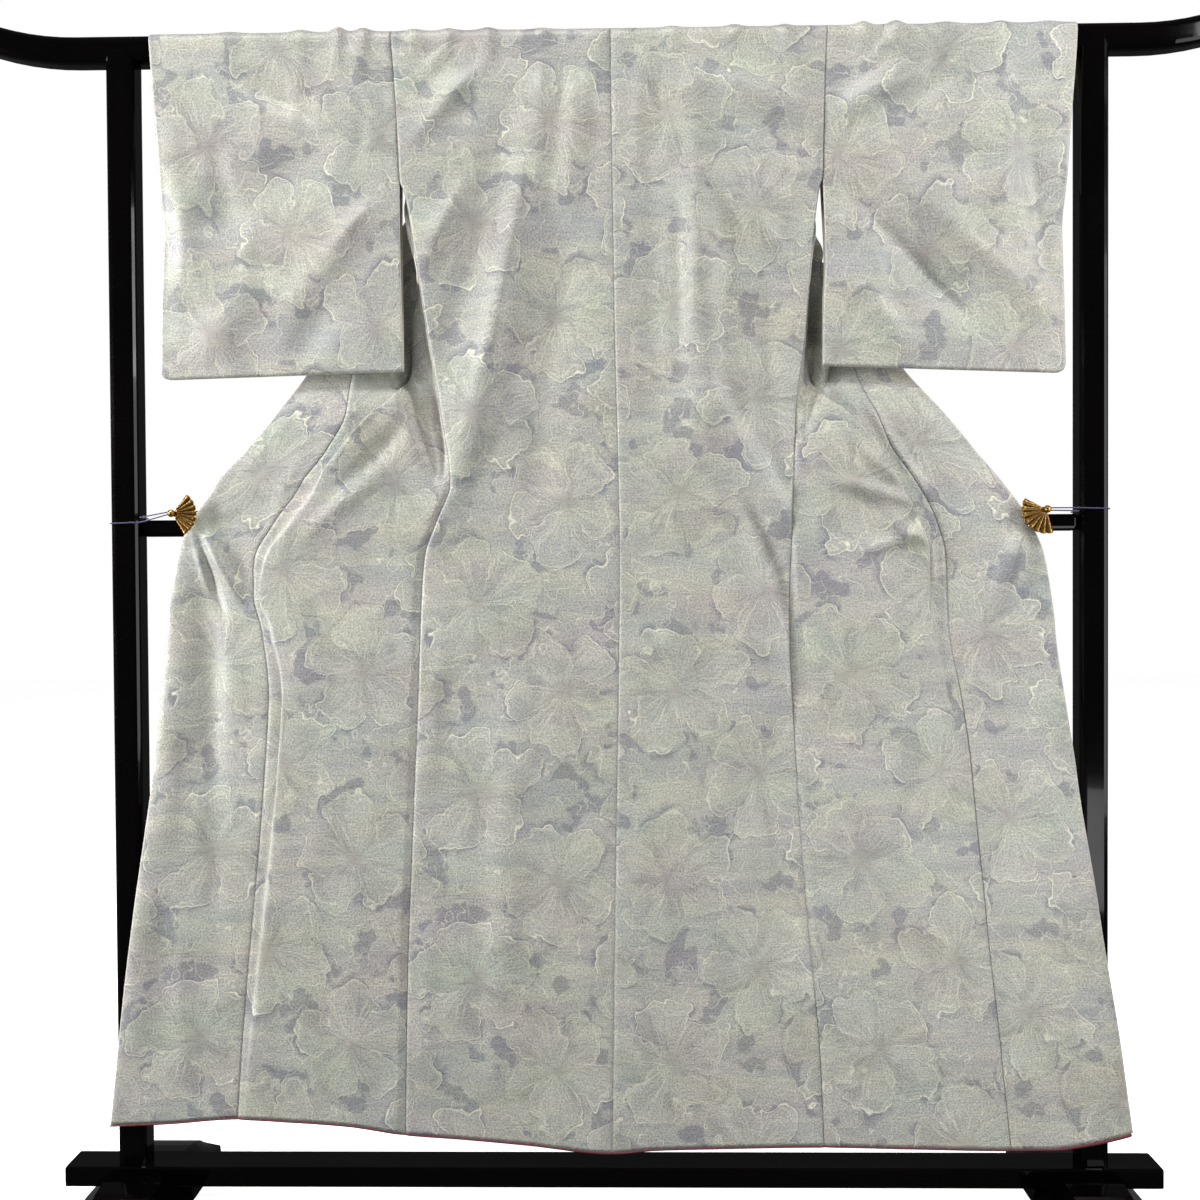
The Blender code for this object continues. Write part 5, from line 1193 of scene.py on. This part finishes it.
def hem_line():
    """The bottom points of every panel, left edge to right edge, none nearer than HEM_STEP."""
    halves = []
    for side in SIDES.values():
        back = [a[0] for a in back_rows(side)[:3]]
        front = [a[-1, ::-1] for a in front_rows(side)[:3]]
        overlap = [a[-1] for a in overlap_grid(side)[:3]]
        run = np.concatenate([np.stack((p[0], p[1] + SHELL / 2, p[2]), axis=-1)[start:]
                              for p, start in ((back, 0), (front, 1), (overlap, 1))])
        keep, last = [0], run[0]
        for i, point in enumerate(run):
            if np.linalg.norm(point - last) > HEM_STEP:
                keep.append(i)
                last = point
        halves.append(run[keep])
    return np.concatenate((halves[0][::-1], halves[1][1:]))


def hem_tube(line):
    """A flattened ring, 3.2 mm thick and 3 mm deep, or 5 mm at the right corner, carried along the
    line. Returns rings by sides of points."""
    direction = np.gradient(line, axis=0)
    sideways = np.stack((direction[:, 1], -direction[:, 0], np.zeros(len(line))), axis=-1)
    sideways /= np.linalg.norm(sideways, axis=1)[:, None]
    deep = HEM_ROLL + 0.002 * ease(0.60, 0.68, line[:, 0])
    turn = np.linspace(0, math.tau, HEM_SIDES, endpoint=False)
    u = np.cos(turn) * HEM_HALF_THICK * HEM_FLAT
    w = -HEM_SET + HEM_SET * np.sin(turn)
    drop = np.zeros((len(line), HEM_SIDES, 3))
    drop[..., 2] = w[None, :] * deep[:, None] - SEAM
    return line[:, None] + sideways[:, None] * u[None, :, None] + drop


rings = hem_tube(hem_line())
count = len(rings)
index = np.arange(count * HEM_SIDES).reshape(count, HEM_SIDES)
after = np.roll(index, -1, axis=1)
quads = np.stack((index[:-1], after[:-1], after[1:], index[1:]), axis=-1).reshape(-1, 4)
hem_mesh = bpy.data.meshes.new("wine_hem_edge")
hem_mesh.from_pydata(rings.reshape(-1, 3).tolist(), [],
                     quads.tolist() + [index[0, ::-1].tolist(), index[-1].tolist()])
hem_uv = hem_mesh.uv_layers.new(name="cloth")
loops = np.zeros(len(hem_mesh.loops), int)
hem_mesh.loops.foreach_get("vertex_index", loops)
flat = np.stack((loops % HEM_SIDES * 0.001, loops // HEM_SIDES * 0.004), axis=-1)
hem_uv.data.foreach_set("uv", flat.astype(np.float32).ravel())
hem_mesh.shade_smooth()
hem_mesh.materials.append(lining_silk)
hem_edge = bpy.data.objects.new("wine_hem_edge", hem_mesh)
bpy.context.collection.objects.link(hem_edge)
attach(hem_edge, "root")
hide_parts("hem_edge")

# ---------------------------------------------------------------- clips
# Fan-shaped clips cast in brass and gilded, each with a flat jaw behind the cloth, joined round
# the cloth's edge by a stem with a knob. The gilding has gone brown between the ribs.
CLIP = {LEFT: {"pivot": (-.5945, .9615), "from": math.radians(-62), "to": math.radians(52)},
        RIGHT: {"pivot": (.5955, .9590), "from": math.radians(152), "to": math.radians(288)}}
STEM_OUT, FAN_INNER, FAN_OUTER, FAN_RIBS = 0.004, 0.0046, 0.0335, 8
FAN_FRONT, FAN_THICK, FAN_RIB = -0.0325, 0.0014, 0.0012
FAN_ROWS, FAN_STEPS = 26, 16

# Gilded cast brass, handled and aged: warm gold on the ridges, umber in the grooves, a fine pitted
# casting skin and small rubbed spots. A metal, so the default IOR stays.
gilt, tree, shader = new_material("aged_gilt_brass", 0.34, Metallic=1.0)
place = add_node(tree, "TexCoord")["Object"]
# pits and spots up to 4 mm across, and finer ones down to 0.5 mm
tarnish = add_node(tree, "TexNoise", {"Vector": place, "Scale": 260.0, "Detail": 4.0,
                                      "Roughness": 0.65})["Fac"]
groove = add_node(tree, "Attribute", attribute_name="groove")["Fac"]
aged = add_node(tree, "Math MULTIPLY_ADD", (groove, 0.62, tarnish))[0]
dark = add_node(tree, "MapRange", {"Value": aged, "From Min": 0.42, "From Max": 0.95})["Result"]
gold = add_node(tree, "Mix RGBA", {0: dark, 6: linear("#A98347"), 7: linear("#33230F")})[2]
tree.links.new(gold, shader.inputs["Base Color"])
dull = add_node(tree, "MapRange", {"Value": dark, "To Min": 0.26, "To Max": 0.60})["Result"]
tree.links.new(dull, shader.inputs["Roughness"])
pits = add_node(tree, "Bump", {"Height": tarnish, "Strength": 0.4, "Distance": 0.0003})["Normal"]
tree.links.new(pits, shader.inputs["Normal"])

for word, side in SIDES.items():
    plan = CLIP[side]
    turn = np.linspace(0, FAN_RIBS, FAN_RIBS * FAN_STEPS + 1)[None, :]
    rib = 0.5 - 0.5 * np.cos(math.tau * turn)          # 0 in a groove, 1 on a ridge
    angle = plan["from"] + (plan["to"] - plan["from"]) * turn / FAN_RIBS
    share = np.linspace(0, 1, FAN_ROWS)[:, None]
    outer = FAN_OUTER - 0.0013 * (1 - rib ** 0.6)
    radius = FAN_INNER + share * (outer - FAN_INNER)
    x = plan["pivot"][0] + side * STEM_OUT + radius * np.cos(angle)
    z = plan["pivot"][1] + radius * np.sin(angle)
    # a bead runs round the fan inside its rim, and a second round its neck
    bead = 0.0005 * np.exp(-((share - 0.90) / 0.035) ** 2)
    bead = bead + 0.0004 * np.exp(-((share - 0.12) / 0.05) ** 2)
    y = FAN_FRONT - FAN_RIB * rib * radius / FAN_OUTER - bead
    fan = cloth_shell("gilt_fan_" + word, (x, y, z), (angle * 0.03, radius),
                      {"groove": (1 - rib) * ease(0.0, 0.3, share) * ease(1.0, 0.88, share)},
                      (gilt,), flip=True, wall=FAN_THICK)
    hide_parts("clip_" + word)
    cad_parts["jaw_" + word].material_slots[0].material = gilt

# ---------------------------------------------------------------- cords
# Thin braided silk cords tied to the knobs and led round the posts, taut; the solids have their
# route. Dark violet yarns, eight to a round braid.
braid, tree, shader = new_material("dark_violet_silk_braid", 0.62, Sheen_Weight=0.4)
place = add_node(tree, "TexCoord")["Object"]
# plaits 0.9 mm long
plait = add_node(tree, "TexVoronoi", {"Vector": place, "Scale": 1 / 0.0009})["Distance"]
tone = add_node(tree, "Mix RGBA", {0: plait, 6: linear("#3A3470"), 7: linear("#15122C")})[2]
tree.links.new(tone, shader.inputs["Base Color"])
twist = add_node(tree, "Bump", {"Height": plait, "Strength": 0.7, "Distance": 0.0004},
                 invert=True)["Normal"]
tree.links.new(twist, shader.inputs["Normal"])
for word in SIDES:
    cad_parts["clip_cord_" + word].material_slots[0].material = braid
